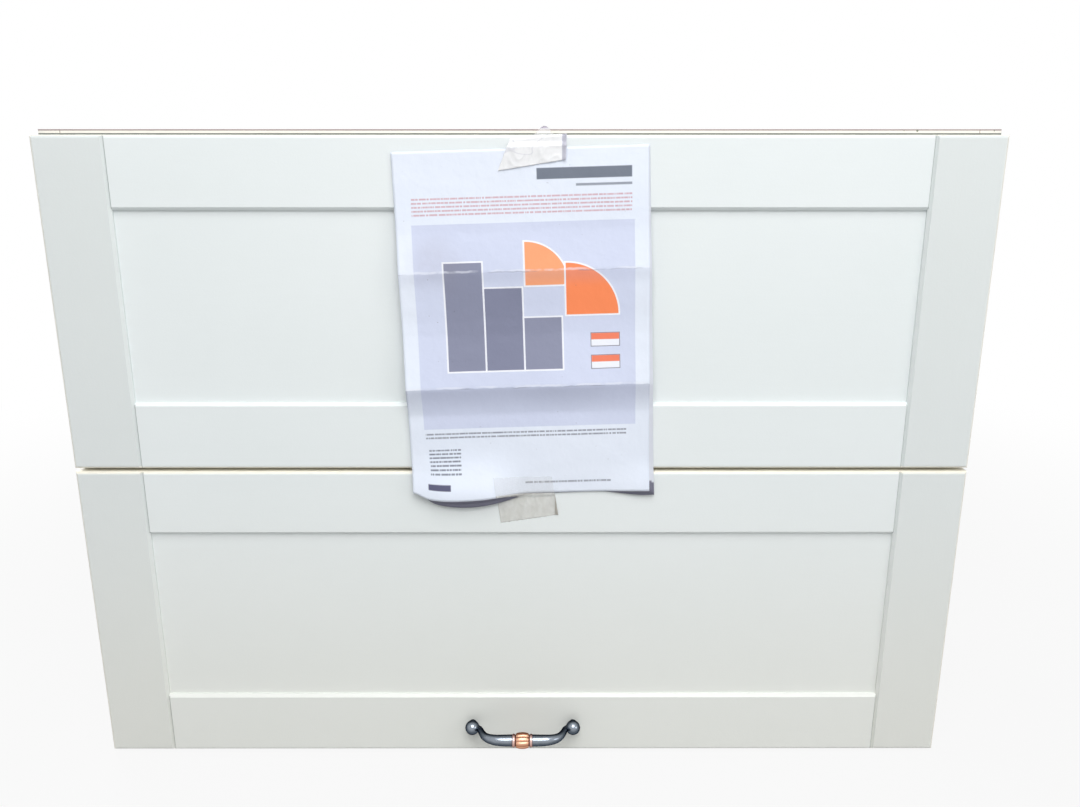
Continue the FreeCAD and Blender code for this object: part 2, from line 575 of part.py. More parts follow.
# Cup hinges
def sector(name, x0, x1, back, front):
    """A plate shaped as part of a ring round the flap's axis; angles are from straight down."""
    blanks = []
    for part_name, radius, spare in (("outer", "arc_outer", "0"), ("inner", "arc_inner", "cut_over")):
        disc = doc.addObject("Part::Cylinder", f"{name}_{part_name}")
        bind(disc, Radius=radius, Height=f"({x1}) - ({x0}) + 2 * {spare}",
             Angle=f"({back}) + ({front})" if part_name == "outer" else "360")
        turn = FreeCAD.Rotation(FreeCAD.Vector(1, 1, 1), 120)
        disc.Placement = FreeCAD.Placement(FreeCAD.Vector(), turn)
        blanks.append(place(disc, f"({x0}) - {spare}", LIFT_Y, LIFT_Z))
    swing = FreeCAD.Rotation(FreeCAD.Vector(1, 0, 0), -90 - value(front))
    blanks[0].Placement.Rotation = swing.multiply(blanks[0].Placement.Rotation)
    place(blanks[0], x0, LIFT_Y, LIFT_Z)
    return carved(name, blanks[0], [blanks[1]])


def cup_hinge(side_name, side):
    """Cup in the flap, sliding arc link, and the arm with its plate under the top panel."""
    x = f"({side} * (cab_width / 2 - hinge_inset))"
    cup_z = f"({FLAP_TOP} - cup_drop)"
    layers = [f"({x} + ({number} * (arc_thick + arc_space)) - arc_thick / 2)" for number in (-1, 0, 1)]
    arcs = [sector(f"arc_{part_name}_{side_name}", start, f"{start} + arc_thick", "arc_back",
                   "arc_front") for part_name, start in zip(("flap", "link", "fixed"), layers)]
    cup_name = f"hinge_cup_{side_name}"
    bottom = f"({FLAP_IN} - cup_depth)"
    shell = rod(f"cup_shell_{side_name}", "y", x, bottom, cup_z, "cup_radius",
                "cup_depth + cup_flange")
    space = rod(f"cup_space_{side_name}", "y", x, f"{bottom} + cup_wall", cup_z,
                "cup_radius - cup_wall", "cup_depth + cup_flange")
    ear_z = f"({cup_z} - ear_drop)"
    ears = [rod(f"cup_ear_{side_name}_{number}", "y", f"{x} + {number} * ear_pitch", FLAP_IN,
                ear_z, "ear_radius", "cup_flange") for number in (-1, 1)]
    bar = box(f"cup_bar_{side_name}", f"{x} - ear_pitch", f"{x} + ear_pitch", FLAP_IN,
              f"{FLAP_IN} + cup_flange", f"{ear_z} - ear_radius", f"{ear_z} + ear_radius")
    cup = carved(f"cup_hollow_{side_name}", joined(f"cup_blank_{side_name}", [shell, bar] + ears),
                 [space])
    root = box(f"cup_root_{side_name}", layers[0], f"{layers[0]} + arc_thick",
               f"{bottom} + cup_wall / 2", LIFT_Y, f"{LIFT_Z} - arc_outer + 1",
               f"{LIFT_Z} - arc_inner - 2")
    pending[cup_name] = joined(f"cup_whole_{side_name}", [cup, arcs[0], root])
    holes.setdefault("upper_rail_top", []).append(rod(
        f"cup_pocket_{side_name}", "y", x, bottom, cup_z, "cup_radius", "cup_depth + cut_over"))
    for number in (-1, 1):
        fix("upper_flap", (cup_name, "upper_rail_top"), f"cup_{side_name}_{number + 1}", "y", -1,
            f"{x} + {number} * ear_pitch", f"{FLAP_IN} + cup_flange", ear_z)
    keep(arcs[1], f"hinge_link_{side_name}")
    arm_top = f"({TOP_UNDER} - plate_thick)"
    arm_y = f"({LIFT_Y} + arc_outer * sin(arc_back * 1deg) + arc_clear)"
    arm = box(f"hinge_bar_{side_name}", f"{x} - hinge_arm_width / 2", f"{x} + hinge_arm_width / 2",
              arm_y, f"{arm_y} + hinge_arm_length", f"{arm_top} - hinge_arm_deep", arm_top)
    arm = rounded(f"hinge_bar_soft_{side_name}", arm, "back_round * 2",
                  lambda edge: near(edge.CenterOfMass.z, value(f"{arm_top} - hinge_arm_deep")))
    neck = box(f"hinge_neck_{side_name}", layers[2], f"{layers[2]} + arc_thick", f"{arm_y} - neck_run",
               f"{arm_y} + cut_over", f"{arm_top} - neck_deep", arm_top)
    pending[f"hinge_arm_{side_name}"] = joined(f"hinge_arm_whole_{side_name}", [arcs[2], arm, neck])
    plate_name = f"hinge_plate_{side_name}"
    plate_y = "(-cab_depth + plate_setback)"
    plate = box(f"plate_block_{side_name}", f"{x} - plate_width / 2", f"{x} + plate_width / 2",
                plate_y, f"{plate_y} + plate_length", arm_top, TOP_UNDER)
    pending[plate_name] = rounded(f"plate_soft_{side_name}", plate, "plate_thick * 2",
                                  lambda edge: near(edge.Length, value("plate_thick")))
    for number in (-1, 1):
        fix("carcase", (plate_name, "top_panel"), f"plate_{side_name}_{number + 1}", "z", 1,
            f"{x} + {number} * (plate_width / 2 - plate_hole_in)", f"{plate_y} + plate_length / 2", arm_top)


# Seam hinges
def seam_hinge(side_name, side):
    """Two leaves on the flaps' inner faces that share a pin behind the seam."""
    x = f"({side} * (cab_width / 2 - hinge_inset))"
    step = "(leaf_width / 5)"
    for name, way, owner, turns in (("upper", 1, "upper_rail_bottom", (0, 2, 4)),
                                    ("lower", -1, "lower_rail_top", (1, 3))):
        near_z, far_z = f"{FOLD_Z} + {way} * leaf_start", f"{FOLD_Z} + {way} * leaf_height"
        low, high = (near_z, far_z) if way > 0 else (far_z, near_z)
        pieces = [box(f"{name}_leaf_{side_name}", f"{x} - leaf_width / 2", f"{x} + leaf_width / 2",
                      FLAP_IN, f"{FLAP_IN} + leaf_thick", low, high)]
        play = "0" if way > 0 else "seam_pin_play"
        for turn in turns:
            start = f"({x} - leaf_width / 2 + {turn} * {step} + knuckle_space / 2)"
            wide = f"({step} - knuckle_space)"
            low, high = (FOLD_Z, f"{near_z} + 1") if way > 0 else (f"{near_z} - 1", FOLD_Z)
            pieces.append(rod(f"{name}_knuckle_{side_name}_{turn}", "x", start, FOLD_Y, FOLD_Z,
                              "knuckle_radius", wide))
            pieces.append(box(f"{name}_tab_{side_name}_{turn}", start, f"{start} + {wide}",
                              FLAP_IN, FOLD_Y, low, high))
            pieces[-1] = carved(f"{name}_tab_cut_{side_name}_{turn}", pieces[-1], [
                box(f"{name}_tab_tool_{side_name}_{turn}", f"{start} - cut_over",
                    f"{start} + {wide} + cut_over", f"{FLAP_IN} - cut_over",
                    f"{FOLD_Y} - knuckle_radius", *(
                        (f"{FOLD_Z} - cut_over", f"{FOLD_Z} + seam_gap") if way > 0
                        else (f"{FOLD_Z} - seam_gap", f"{FOLD_Z} + cut_over")))])
        bore = rod(f"{name}_pin_bore_{side_name}", "x", f"{x} - leaf_width / 2 - cut_over", FOLD_Y,
                   FOLD_Z, f"seam_pin_radius + {play}", "leaf_width + 2 * cut_over")
        leaf_name = f"seam_leaf_{name}_{side_name}"
        pending[leaf_name] = joined(f"{name}_leaf_whole_{side_name}", pieces)
        holes[leaf_name] = [bore]
        for number in (-1, 1):
            fix(f"{name}_flap", (leaf_name, owner), f"{name}_seam_{side_name}_{number + 1}", "y", -1,
                f"{x} + {number} * leaf_width / 3", f"{FLAP_IN} + leaf_thick",
                f"{FOLD_Z} + {way} * (leaf_start + leaf_height) / 2")
    return rod(f"seam_pin_{side_name}", "x", f"{x} - leaf_width / 2", FOLD_Y, FOLD_Z,
               "seam_pin_radius", "leaf_width")


# Handle
# The bow from the ball to the collar, in parts of the way: across, off the flap, and swelling
BOW_LINE = ((0.14, 0.03, 0.0), (0.20, 0.16, 0.02), (0.25, 0.42, 0.14), (0.33, 0.68, 0.33),
            (0.45, 0.87, 0.57), (0.62, 0.97, 0.80), (0.82, 1.0, 0.94), (1.0, 1.0, 1.0))
BEAD_SHARES = (-1, -0.8, -0.4, 0, 0.4, 0.8, 1)


def lofted(name, sections):
    """A solid through closed outlines."""
    loft = doc.addObject("Part::Loft", name)
    loft.Sections = sections
    loft.Solid = True
    loft.Ruled = True
    return loft


def across_bow(direction):
    """The turn of a ring that is square to the bow and starts at its top."""
    return FreeCAD.Rotation(FreeCAD.Vector(0, 0, 1), FreeCAD.Vector(), direction, "ZXY")


def bow_ring(name, centre, direction, radius):
    """A round outline square to the bow."""
    ring = doc.addObject("Part::Circle", name)
    ring.Radius = radius
    ring.Placement = FreeCAD.Placement(centre, across_bow(direction))
    return ring


def bow():
    """The right-hand swelling rod: it leaves the ball as a thin neck and ends at the collar."""
    ball_x, collar_x = value("handle_centres / 2"), value("bead_width / 2 + collar_width")
    ball_off, bow_off = value("ball_off"), value("bow_off")
    neck, swell = value("bow_neck_radius"), value("bow_mid_radius - bow_neck_radius")
    front, z = value(FLAP_OUT), value(HANDLE_Z)
    spots = [FreeCAD.Vector(ball_x + (collar_x - ball_x) * across,
                            front - ball_off - (bow_off - ball_off) * off, z)
             for across, off, part in BOW_LINE]
    rings = []
    for number, spot in enumerate(spots):
        before = spots[max(number - 1, 0)]
        after = spots[min(number + 1, len(spots) - 1)]
        rings.append(bow_ring(f"bow_ring_{number}", spot, after - before,
                              neck + swell * BOW_LINE[number][2]))
    rings[-1].Placement.Rotation = across_bow(FreeCAD.Vector(-1, 0, 0))
    return lofted("bow_right", rings)


def handle_half():
    """The right-hand casting: bow, ball and foot in one, bored for its bolt."""
    x, ball_y = "handle_centres / 2", f"({FLAP_OUT} - ball_off)"
    ball = doc.addObject("Part::Sphere", "ball")
    bind(ball, Radius="ball_radius")
    place(ball, x, ball_y, HANDLE_Z)
    foot = rod("foot", "y", x, ball_y, HANDLE_Z, "foot_radius", "ball_off")
    bore = hole("bolt_bore", "y", -1, x, FLAP_IN, HANDLE_Z, "flap_thick + ball_off", "bolt_radius")
    return carved("bow_bored_right", joined("bow_whole", [bow(), ball, foot]), [bore])


def handle():
    """A bow with a ball at each end, two collars and a ribbed bead in the middle."""
    keep(handle_half(), "handle_bow_right")
    mirrored = doc.addObject("Part::Mirroring", "bow_bored_left")
    mirrored.Source = nodes["handle_bow_right"]
    mirrored.Normal = FreeCAD.Vector(1, 0, 0)
    keep(mirrored, "handle_bow_left")
    for side_name, side in SIDES:
        x = f"{side} * handle_centres / 2"
        holes.setdefault("lower_rail_bottom", []).append(rod(
            f"bolt_hole_{side_name}", "y", x, f"{FLAP_OUT} - cut_over", HANDLE_Z,
            "bolt_radius + bolt_play", "flap_thick + 2 * cut_over"))
        bolts.append(screw(f"bolt_{side_name}", "y", -1, x, FLAP_IN, HANDLE_Z,
                           "flap_thick + ball_off", "bolt_radius", "bolt_head"))
    keep(grouped("bolt_group", bolts), "handle_bolts")
    mid_y = f"({FLAP_OUT} - bow_off)"
    collars = [rod(f"collar_{side_name}", "x", f"{side} * (bead_width / 2 + collar_width / 2)"
                   " - collar_width / 2", mid_y, HANDLE_Z, "collar_radius", "collar_width")
               for side_name, side in SIDES]
    keep(grouped("collar_group", collars), "handle_collars")
    half_bead, bead_r, end_r = value("bead_width / 2"), value("bead_radius"), value("collar_radius")
    sag = bead_r - end_r
    curve = (half_bead ** 2 + sag ** 2) / (2 * sag)
    sections = []
    for number, share in enumerate(BEAD_SHARES):
        ring = doc.addObject("Part::Feature", f"bead_ring_{number}")
        radius = bead_r - curve + math.sqrt(curve ** 2 - (half_bead * share) ** 2)
        ring.Shape = melon_ring(half_bead * share, value(mid_y), value(HANDLE_Z), radius)
        sections.append(ring)
    keep(lofted("bead_loft", sections), "handle_bead")


def melon_ring(x, y, z, radius):
    """One ribbed outline of the bead, square to X: arcs that meet in grooves."""
    ribs = int(value("bead_ribs"))
    valley = radius * (1 - value("bead_groove") / value("bead_radius"))

    def spot(turn, reach):
        angle = 2 * math.pi * turn / ribs
        return FreeCAD.Vector(x, y + reach * math.cos(angle), z + reach * math.sin(angle))
    return Part.Wire([Part.Arc(spot(rib - 0.5, valley), spot(rib, radius),
                               spot(rib + 0.5, valley)).toShape() for rib in range(ribs)])


bolts = []


# Leaflet
def leaflet():
    """The sheet that is taped to the upper flap, and its two tapes."""
    face = f"({FLAP_OUT} - paper_gap)"
    sheet_block = doc.addObject("Part::Box", "paper")
    bind(sheet_block, Length="leaf_wide", Width="paper_thick", Height="leaf_tall")
    sheet_block.Placement = FreeCAD.Placement(FreeCAD.Vector(), FreeCAD.Rotation(
        FreeCAD.Vector(0, -1, 0), value("paper_turn")))
    turn = math.radians(value("paper_turn"))
    wide, tall = value("leaf_wide / 2"), value("leaf_tall / 2")
    place(sheet_block, f"paper_x - {wide * math.cos(turn) - tall * math.sin(turn)}",
          f"{face} - paper_thick", f"paper_z - {wide * math.sin(turn) + tall * math.cos(turn)}")
    keep(sheet_block, "leaflet")
    tape_y = f"({face} - paper_thick)"
    keep(box("tape_block_top", "paper_x + 12 - tape_wide / 2", "paper_x + 12 + tape_wide / 2",
             f"{tape_y} - tape_thick", tape_y, f"{FLAP_TOP} - tape_drop", f"{FLAP_TOP} - edge_round"),
         "tape_top")
    low = "(paper_z - leaf_tall / 2 - 1.5)"
    keep(box("tape_block_low", "paper_x - low_tape_wide / 2", "paper_x + low_tape_wide / 2",
             f"{FLAP_OUT} - tape_thick", FLAP_OUT, f"{low} - low_tape_drop", low), "tape_bottom")


boards = carcase_boards()
shelf_pins()
buffers()
flap("lower", "bottom_reveal")
flap("upper", f"(bottom_reveal + {FLAP_TALL} + seam_gap)")
pins = []
for side_name, side in SIDES:
    wall_hanger(side_name, side)
    lift_unit(side_name, side)
    lift_arm(side_name, side)
    arm_bracket(side_name, side)
    cup_hinge(side_name, side)
    pins.append(seam_hinge(side_name, side))
keep(grouped("pin_group", pins), "seam_pins")
handle()
leaflet()
for owner, pieces in screws.items():
    keep(grouped(f"{owner}_screw_group", pieces), f"{owner}_screws")
for name, blank in {**boards, **pending}.items():
    tools = holes.pop(name, [])
    keep(carved(f"{name}_cut", blank, tools) if tools else blank, name)

doc.recompute()
faults = [thing.Name for thing in doc.Objects if "Invalid" in thing.State or "Error" in thing.State]
if faults or holes:
    raise RuntimeError(f"failed objects {faults}, holes left over for {sorted(holes)}")
for name, thing in nodes.items():
    if thing.Shape.isNull() or not thing.Shape.isValid() or thing.Shape.Volume <= 0:
        raise RuntimeError(f"{name}: bad shape")
    thing.Shape.exportStep(f"parts/{name}.step")
print(len(nodes), "nodes written")
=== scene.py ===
# %% [markdown]
# # Dressing a bi-fold wall cabinet
# The imported model holds every board, hinge and lift arm at its real size. This file gives each of
# them its finish, and builds in mesh the few pieces whose charm is in their surface: the handle,
# the taped leaflet, the tapes, the screws and the springs.
# The first cell loads the frame.

import json
import math

import bmesh
import bpy
from mathutils import Matrix, Vector, noise

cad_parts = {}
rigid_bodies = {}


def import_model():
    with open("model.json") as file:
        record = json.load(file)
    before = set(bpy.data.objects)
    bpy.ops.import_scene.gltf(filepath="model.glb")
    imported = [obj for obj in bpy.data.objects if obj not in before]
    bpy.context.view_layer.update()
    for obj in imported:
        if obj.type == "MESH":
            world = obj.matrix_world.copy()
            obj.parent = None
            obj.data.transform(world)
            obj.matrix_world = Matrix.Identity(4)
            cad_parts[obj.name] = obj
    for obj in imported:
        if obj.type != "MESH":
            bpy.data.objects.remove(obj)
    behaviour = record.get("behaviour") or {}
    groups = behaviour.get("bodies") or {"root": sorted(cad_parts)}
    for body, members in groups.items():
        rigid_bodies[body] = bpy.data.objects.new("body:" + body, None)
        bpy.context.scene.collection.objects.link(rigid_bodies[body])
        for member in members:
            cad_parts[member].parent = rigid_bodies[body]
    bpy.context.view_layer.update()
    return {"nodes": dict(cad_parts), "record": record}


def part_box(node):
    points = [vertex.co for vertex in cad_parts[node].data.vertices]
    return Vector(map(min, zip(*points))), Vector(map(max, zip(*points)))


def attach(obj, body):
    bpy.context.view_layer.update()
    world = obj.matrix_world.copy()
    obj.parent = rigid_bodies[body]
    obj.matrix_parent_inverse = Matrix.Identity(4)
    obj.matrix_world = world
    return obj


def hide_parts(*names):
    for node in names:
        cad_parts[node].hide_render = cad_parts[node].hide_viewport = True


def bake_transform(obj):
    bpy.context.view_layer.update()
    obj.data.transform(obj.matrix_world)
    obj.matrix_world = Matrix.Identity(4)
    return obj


for leftover in list(bpy.data.objects):
    bpy.data.objects.remove(leftover)
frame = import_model()
nodes = frame["nodes"]
body_of = {node: body for body, members in frame["record"]["behaviour"]["bodies"].items()
           for node in members}

# %% [markdown]
# ## The measures that the looks are worked out from
# All of them come from the frame: the front face of the flaps, the seam between them, the line
# where a rail meets a stile, and where the handle and the leaflet lie. Lengths are in metres, so
# MM turns a millimetre into Blender's unit.

# %% Measures taken from the frame
MM = 0.001
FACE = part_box("upper_stile_left")[0].y
FLAP_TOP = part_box("upper_stile_left")[1].z
FLAP_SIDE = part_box("upper_stile_right")[1].x
STILE_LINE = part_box("upper_stile_right")[0].x
SEAM = (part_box("upper_stile_left")[0].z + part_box("lower_stile_left")[1].z) / 2
BOARD_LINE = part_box("side_panel_right")[0].x
CARCASE_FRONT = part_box("side_panel_right")[0].y
CARCASE_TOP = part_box("top_panel")[1].z


def middle(node):
    low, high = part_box(node)
    return (low + high) / 2


BEAD = middle("handle_bead")
LEAFLET = middle("leaflet")
print("flap face at", round(FACE, 4), "seam at", round(SEAM, 4), "bead at", tuple(BEAD))

# %% [markdown]
# ## Node trees written as sums
# A shader is mostly arithmetic on masks and patterns, and a tree wired by hand hides that. So one
# small class wraps a socket: `mask * 0.5` adds the Math node for it, and `1 - mask` works too.
# A second class adds any other node from its type, its settings and its sockets. Geometry Nodes
# use the same Math node, so both kinds of tree are written in the same way.

# %% A socket that can be used in sums


class Value:
    """One output of a node tree; an operator on it adds the Math node that works it out."""

    def __init__(self, tree, socket):
        self.tree = tree
        self.socket = socket

    def math(self, operation, first, second=0.0):
        return self.tree.node("ShaderNodeMath", {"operation": operation}, {0: first, 1: second})

    def __add__(self, other):
        return self.math("ADD", self, other)

    def __radd__(self, other):
        return self.math("ADD", other, self)

    def __sub__(self, other):
        return self.math("SUBTRACT", self, other)

    def __rsub__(self, other):
        return self.math("SUBTRACT", other, self)

    def __mul__(self, other):
        return self.math("MULTIPLY", self, other)

    def __rmul__(self, other):
        return self.math("MULTIPLY", other, self)

    def __truediv__(self, other):
        return self.math("DIVIDE", self, other)

    def __pow__(self, other):
        return self.math("POWER", self, other)

    def __abs__(self):
        return self.math("ABSOLUTE", self)

    def least(self, other):
        return self.math("MINIMUM", self, other)

    def most(self, other):
        return self.math("MAXIMUM", self, other)


class Tree:
    """Adds nodes to one tree: a node's settings first, then the values or links of its sockets."""

    def __init__(self, tree):
        self.tree = tree

    def node(self, kind, settings=None, sockets=None, out=0):
        made = self.tree.nodes.new(kind)
        for name, setting in (settings or {}).items():
            setattr(made, name, setting)
        for name, given in (sockets or {}).items():
            if isinstance(given, Value):
                self.tree.links.new(given.socket, made.inputs[name])
            else:
                made.inputs[name].default_value = given
        return Value(self, made.outputs[out])

    def coordinate(self, vector, name):
        return self.node("ShaderNodeSeparateXYZ", {}, {0: vector}, out="XYZ".index(name))

    def step(self, value, low, high):
        """0 below low, 1 above high, and smooth between them."""
        return self.node("ShaderNodeMapRange", {"interpolation_type": "SMOOTHSTEP"},
                         {"Value": value, "From Min": low, "From Max": high})


print("sums on sockets are ready")

# %% [markdown]
# ## A finish
# Each finish is one material with one Principled shader. What is the same all over a surface is
# set on the shader's own socket, and what varies is worked out from Object coordinates: the
# pattern then stays put on the piece, however the piece or the camera moves.

# %% The class that finishes are made with


def colour(red, green, blue):
    """A colour as it reads on a screen, 0 to 255 a channel, as the linear numbers that are mixed."""
    def linear(channel):
        part = channel / 255
        return part / 12.92 if part <= 0.04045 else ((part + 0.055) / 1.055) ** 2.4
    return (linear(red), linear(green), linear(blue), 1.0)


class Finish(Tree):
    """A material whose shader is fed by expressions."""

    def __init__(self, name, **constants):
        self.material = bpy.data.materials.new(name)
        self.material.use_nodes = True
        super().__init__(self.material.node_tree)
        self.tree.nodes.clear()
        self.shader = self.tree.nodes.new("ShaderNodeBsdfPrincipled")
        self.end = self.tree.nodes.new("ShaderNodeOutputMaterial")
        self.tree.links.new(self.shader.outputs[0], self.end.inputs["Surface"])
        for socket, number in constants.items():
            self.shader.inputs[socket.replace("_", " ")].default_value = number

    def feed(self, **sockets):
        for socket, value in sockets.items():
            self.tree.links.new(value.socket, self.shader.inputs[socket.replace("_", " ")])
        return self

    def place(self):
        return self.node("ShaderNodeTexCoord", out="Object")

    def axis(self, name):
        return self.coordinate(self.place(), name)

    def facing(self, x, y, z):
        """How far the surface faces a direction of the object, from -1 to 1."""
        normal = self.node("ShaderNodeTexCoord", out="Normal")
        way = Vector((x, y, z)).normalized()
        return self.node("ShaderNodeVectorMath", {"operation": "DOT_PRODUCT"}, {0: normal, 1: way},
                         out="Value")

    def cloud(self, scale, detail=2.0, stretch=(1, 1, 1), shift=(0, 0, 0)):
        """Noise with `scale` patches in a metre."""
        where = self.node("ShaderNodeMapping", {}, {"Vector": self.place(), "Location": shift,
                                                    "Scale": stretch})
        return self.node("ShaderNodeTexNoise", {}, {"Vector": where, "Scale": scale,
                                                    "Detail": detail})

    def mix(self, share, low, high, blend="MIX"):
        return self.node("ShaderNodeMix", {"data_type": "RGBA", "blend_type": blend},
                         {0: share, 6: low, 7: high}, out=2)

    def bump(self, height, distance):
        return self.node("ShaderNodeBump", {}, {"Height": height, "Distance": distance})


print("finishes can be made")

# %% [markdown]
# ## Lacquer of the flaps
# The flap frames are sprayed in a satin cream. Up close such a coat has an orange-peel skin and a
# faint pull along the grain of each stile and rail. Along the rounded edges the paint is warmer and
# brighter, partly a yellowed coat and partly a painted highlight. Where a rail meets a stile, a
# painted glint lies beside the joint's vee and a painted shade within it. An image could hold all
# that, but masks on the place in metres stay sharp at any size. Stiles and rails need two finishes
# because their grain runs in different directions, and the stiles are a shade darker.

# %% The lacquer finishes


def lacquer(name, grain, shade, light):
    paint = Finish(name, Coat_Weight=0.08, Coat_Roughness=0.25)
    wide = paint.cloud(4, 2)
    pull = paint.cloud(60, 3, grain, (3, 1, 2))
    skin = paint.cloud(700, 1)
    body = paint.mix(wide, shade, light)
    body = paint.mix(pull * 0.06, body, colour(212, 217, 212))
    body = paint.mix(paint.step(paint.axis("Z"), 0.32, 0.0) * 0.5, body, colour(232, 230, 219))
    # warmer, brighter paint along the rounded edges: partly a yellowed coat and partly a painted
    # highlight
    side = paint.step(abs(paint.axis("X")), FLAP_SIDE - 3 * MM, FLAP_SIDE - 0.4 * MM)
    level = abs(paint.axis("Z") - SEAM)
    ends = paint.step(level, FLAP_TOP - SEAM - 1.2 * MM, FLAP_TOP - SEAM - 0.2 * MM)
    ends = ends.most(paint.step(level, 4.2 * MM, 2.4 * MM))
    body = paint.mix(side.most(ends) * 0.85, body, colour(248, 243, 228))
    past = abs(paint.axis("X")) - STILE_LINE
    front = 1 - paint.step(paint.axis("Y"), FACE + 0.8 * MM, FACE + 1.4 * MM)
    # a painted glint beside the vee where a rail meets a stile, and painted shade within the vee
    joint_glint = paint.step(past, -0.1 * MM, 0.2 * MM) * paint.step(past, 1.6 * MM, 0.9 * MM)
    groove = paint.step(past, -1.1 * MM, -0.7 * MM) * paint.step(past, 0.1 * MM, -0.2 * MM)
    body = paint.mix(joint_glint * front * 0.8, body, colour(252, 253, 251))
    body = paint.mix(groove * front * 0.8, body, colour(158, 166, 162))
    paint.feed(Base_Color=body, Roughness=0.38 + 0.1 * pull,
               Normal=paint.bump(skin * 0.5 + pull * 0.3, 0.0001))
    return paint.material


STILE_LACQUER = lacquer("stile_lacquer", (8, 8, 0.6), colour(219, 225, 224),
                        colour(226, 231, 231))
RAIL_LACQUER = lacquer("rail_lacquer", (0.6, 8, 8), colour(229, 236, 236), colour(237, 242, 243))
print("lacquer on stiles and rails")

# %% [markdown]
# ## Boards of the carcase
# The carcase is chipboard faced with melamine, a shade warmer than the flaps. Its pearl grain is
# pressed in, so it shows in the bump more than in the colour. The front edges carry a glued band,
# whose joint is a hairline just behind the edge, and the boards meet at a dark butt joint. The
# top board's front edge has a dark mauve line along its upper corner and is chipped in three
# places, and a painted shade darkens it just above the flap, where the flap shades the gap. The
# back is a thin hardboard, painted white inside and bare brown behind.

# %% The board finishes
# (place across, radius) of the chips in the front edge of the top board
CHIPS = ((0.319, 0.5 * MM), (0.330, 1.1 * MM), (0.394, 0.7 * MM))


def melamine():
    board = Finish("cream_melamine", Roughness=0.42)
    pearl = board.cloud(420, 2)
    wide = board.cloud(4, 2, shift=(5, 5, 5))
    tone = board.mix(wide, colour(230, 226, 214), colour(236, 233, 222))
    tone = board.mix(pearl * 0.12, tone, colour(208, 202, 186))
    front = 1 - board.step(board.axis("Y"), CARCASE_FRONT + 0.2 * MM, CARCASE_FRONT + 0.9 * MM)
    tone = board.mix(front, tone, colour(240, 238, 230))
    glue = 1 - board.step(abs(board.axis("Y") - CARCASE_FRONT - 1.0 * MM), 0.1 * MM, 0.35 * MM)
    joint = 1 - board.step(abs(abs(board.axis("X")) - BOARD_LINE), 0.2 * MM, 0.6 * MM)
    tone = board.mix((glue * 0.35).most(joint * 0.6), tone, colour(138, 124, 112))
    level = board.axis("Z")
    # a dark mauve line along the top corner of the front edge
    line_mask = board.step(level, CARCASE_TOP - 1.5 * MM, CARCASE_TOP - 0.9 * MM)
    line_mask = line_mask * front * (0.7 + 0.4 * board.cloud(5, 2, shift=(8, 2, 1)))
    tone = board.mix(line_mask.least(1.0), tone, colour(150, 132, 134))
    # painted shade: a dark line on the carcase just above the flap's top, where the flap shades the
    # gap
    gap_shade = board.step(abs(level - FLAP_TOP - 0.9 * MM), 1.1 * MM, 0.7 * MM)
    tone = board.mix(gap_shade * front, tone, colour(100, 108, 102))
    for across, size in CHIPS:
        place = board.node("ShaderNodeCombineXYZ", {}, {0: board.axis("X"), 1: level})
        away = board.node("ShaderNodeVectorMath", {"operation": "DISTANCE"},
                          {0: place, 1: (across, CARCASE_TOP - 1.2 * MM, 0)}, out="Value")
        ragged = away + 0.8 * MM * board.cloud(900, 1)
        tone = board.mix(board.step(ragged, size + 0.5 * MM, size) * front, tone,
                         colour(128, 132, 118))
    board.feed(Base_Color=tone, Normal=board.bump(pearl, 0.0001))
    return board.material


def hardboard():
    board = Finish("white_hardboard", Roughness=0.55)
    fibre = board.cloud(300, 4, (1, 1, 3))
    cross = board.cloud(300, 4, (3, 1, 1), (9, 0, 0))
    tone = board.mix(board.cloud(6, 3), colour(236, 235, 228), colour(243, 242, 237))
    tone = board.mix((fibre * cross) * 0.5, tone, colour(214, 211, 200))
    bare = board.step(board.facing(0, 1, 0), 0.5, 0.9)
    brown = board.mix(fibre, colour(176, 146, 108), colour(150, 120, 86))
    board.feed(Base_Color=board.mix(bare, tone, brown), Normal=board.bump(fibre + cross, 0.00015))
    return board.material


CARCASE_BOARD = melamine()
BACK_BOARD = hardboard()
print("boards are faced")

# %% [markdown]
# ## Metals of the fittings
# Three plain metals share one recipe: a base colour, a brushed or cast grain, and cloudy
# fingerprints that change the roughness. Only the numbers differ, so they come from one function.

# %% Metal finishes


def metal(name, light, dark, rough, grain, scale, depth):
    """A metal between two tones, with its grain stretched along the small number of `grain`."""
    piece = Finish(name, Metallic=1.0)
    lines = piece.cloud(scale, 3, grain)
    smudge = piece.cloud(45, 3, shift=(2, 4, 8))
    tone = piece.mix(lines * 0.5 + smudge * 0.4, light, dark)
    piece.feed(Base_Color=tone, Roughness=rough + 0.14 * smudge + 0.08 * lines,
               Normal=piece.bump(lines, depth))
    return piece.material


NICKEL = metal("bright_nickel", colour(205, 203, 198), colour(176, 173, 167), 0.16,
               (1, 1, 1), 240, 0.00003)
ZINC = metal("zinc_plated_steel", colour(186, 190, 196), colour(150, 155, 163), 0.28,
             (6, 1, 1), 160, 0.00004)
SPRING_STEEL = metal("spring_steel", colour(120, 120, 124), colour(84, 84, 90), 0.3,
                     (1, 6, 1), 200, 0.00004)
print("fitting metals are ready")
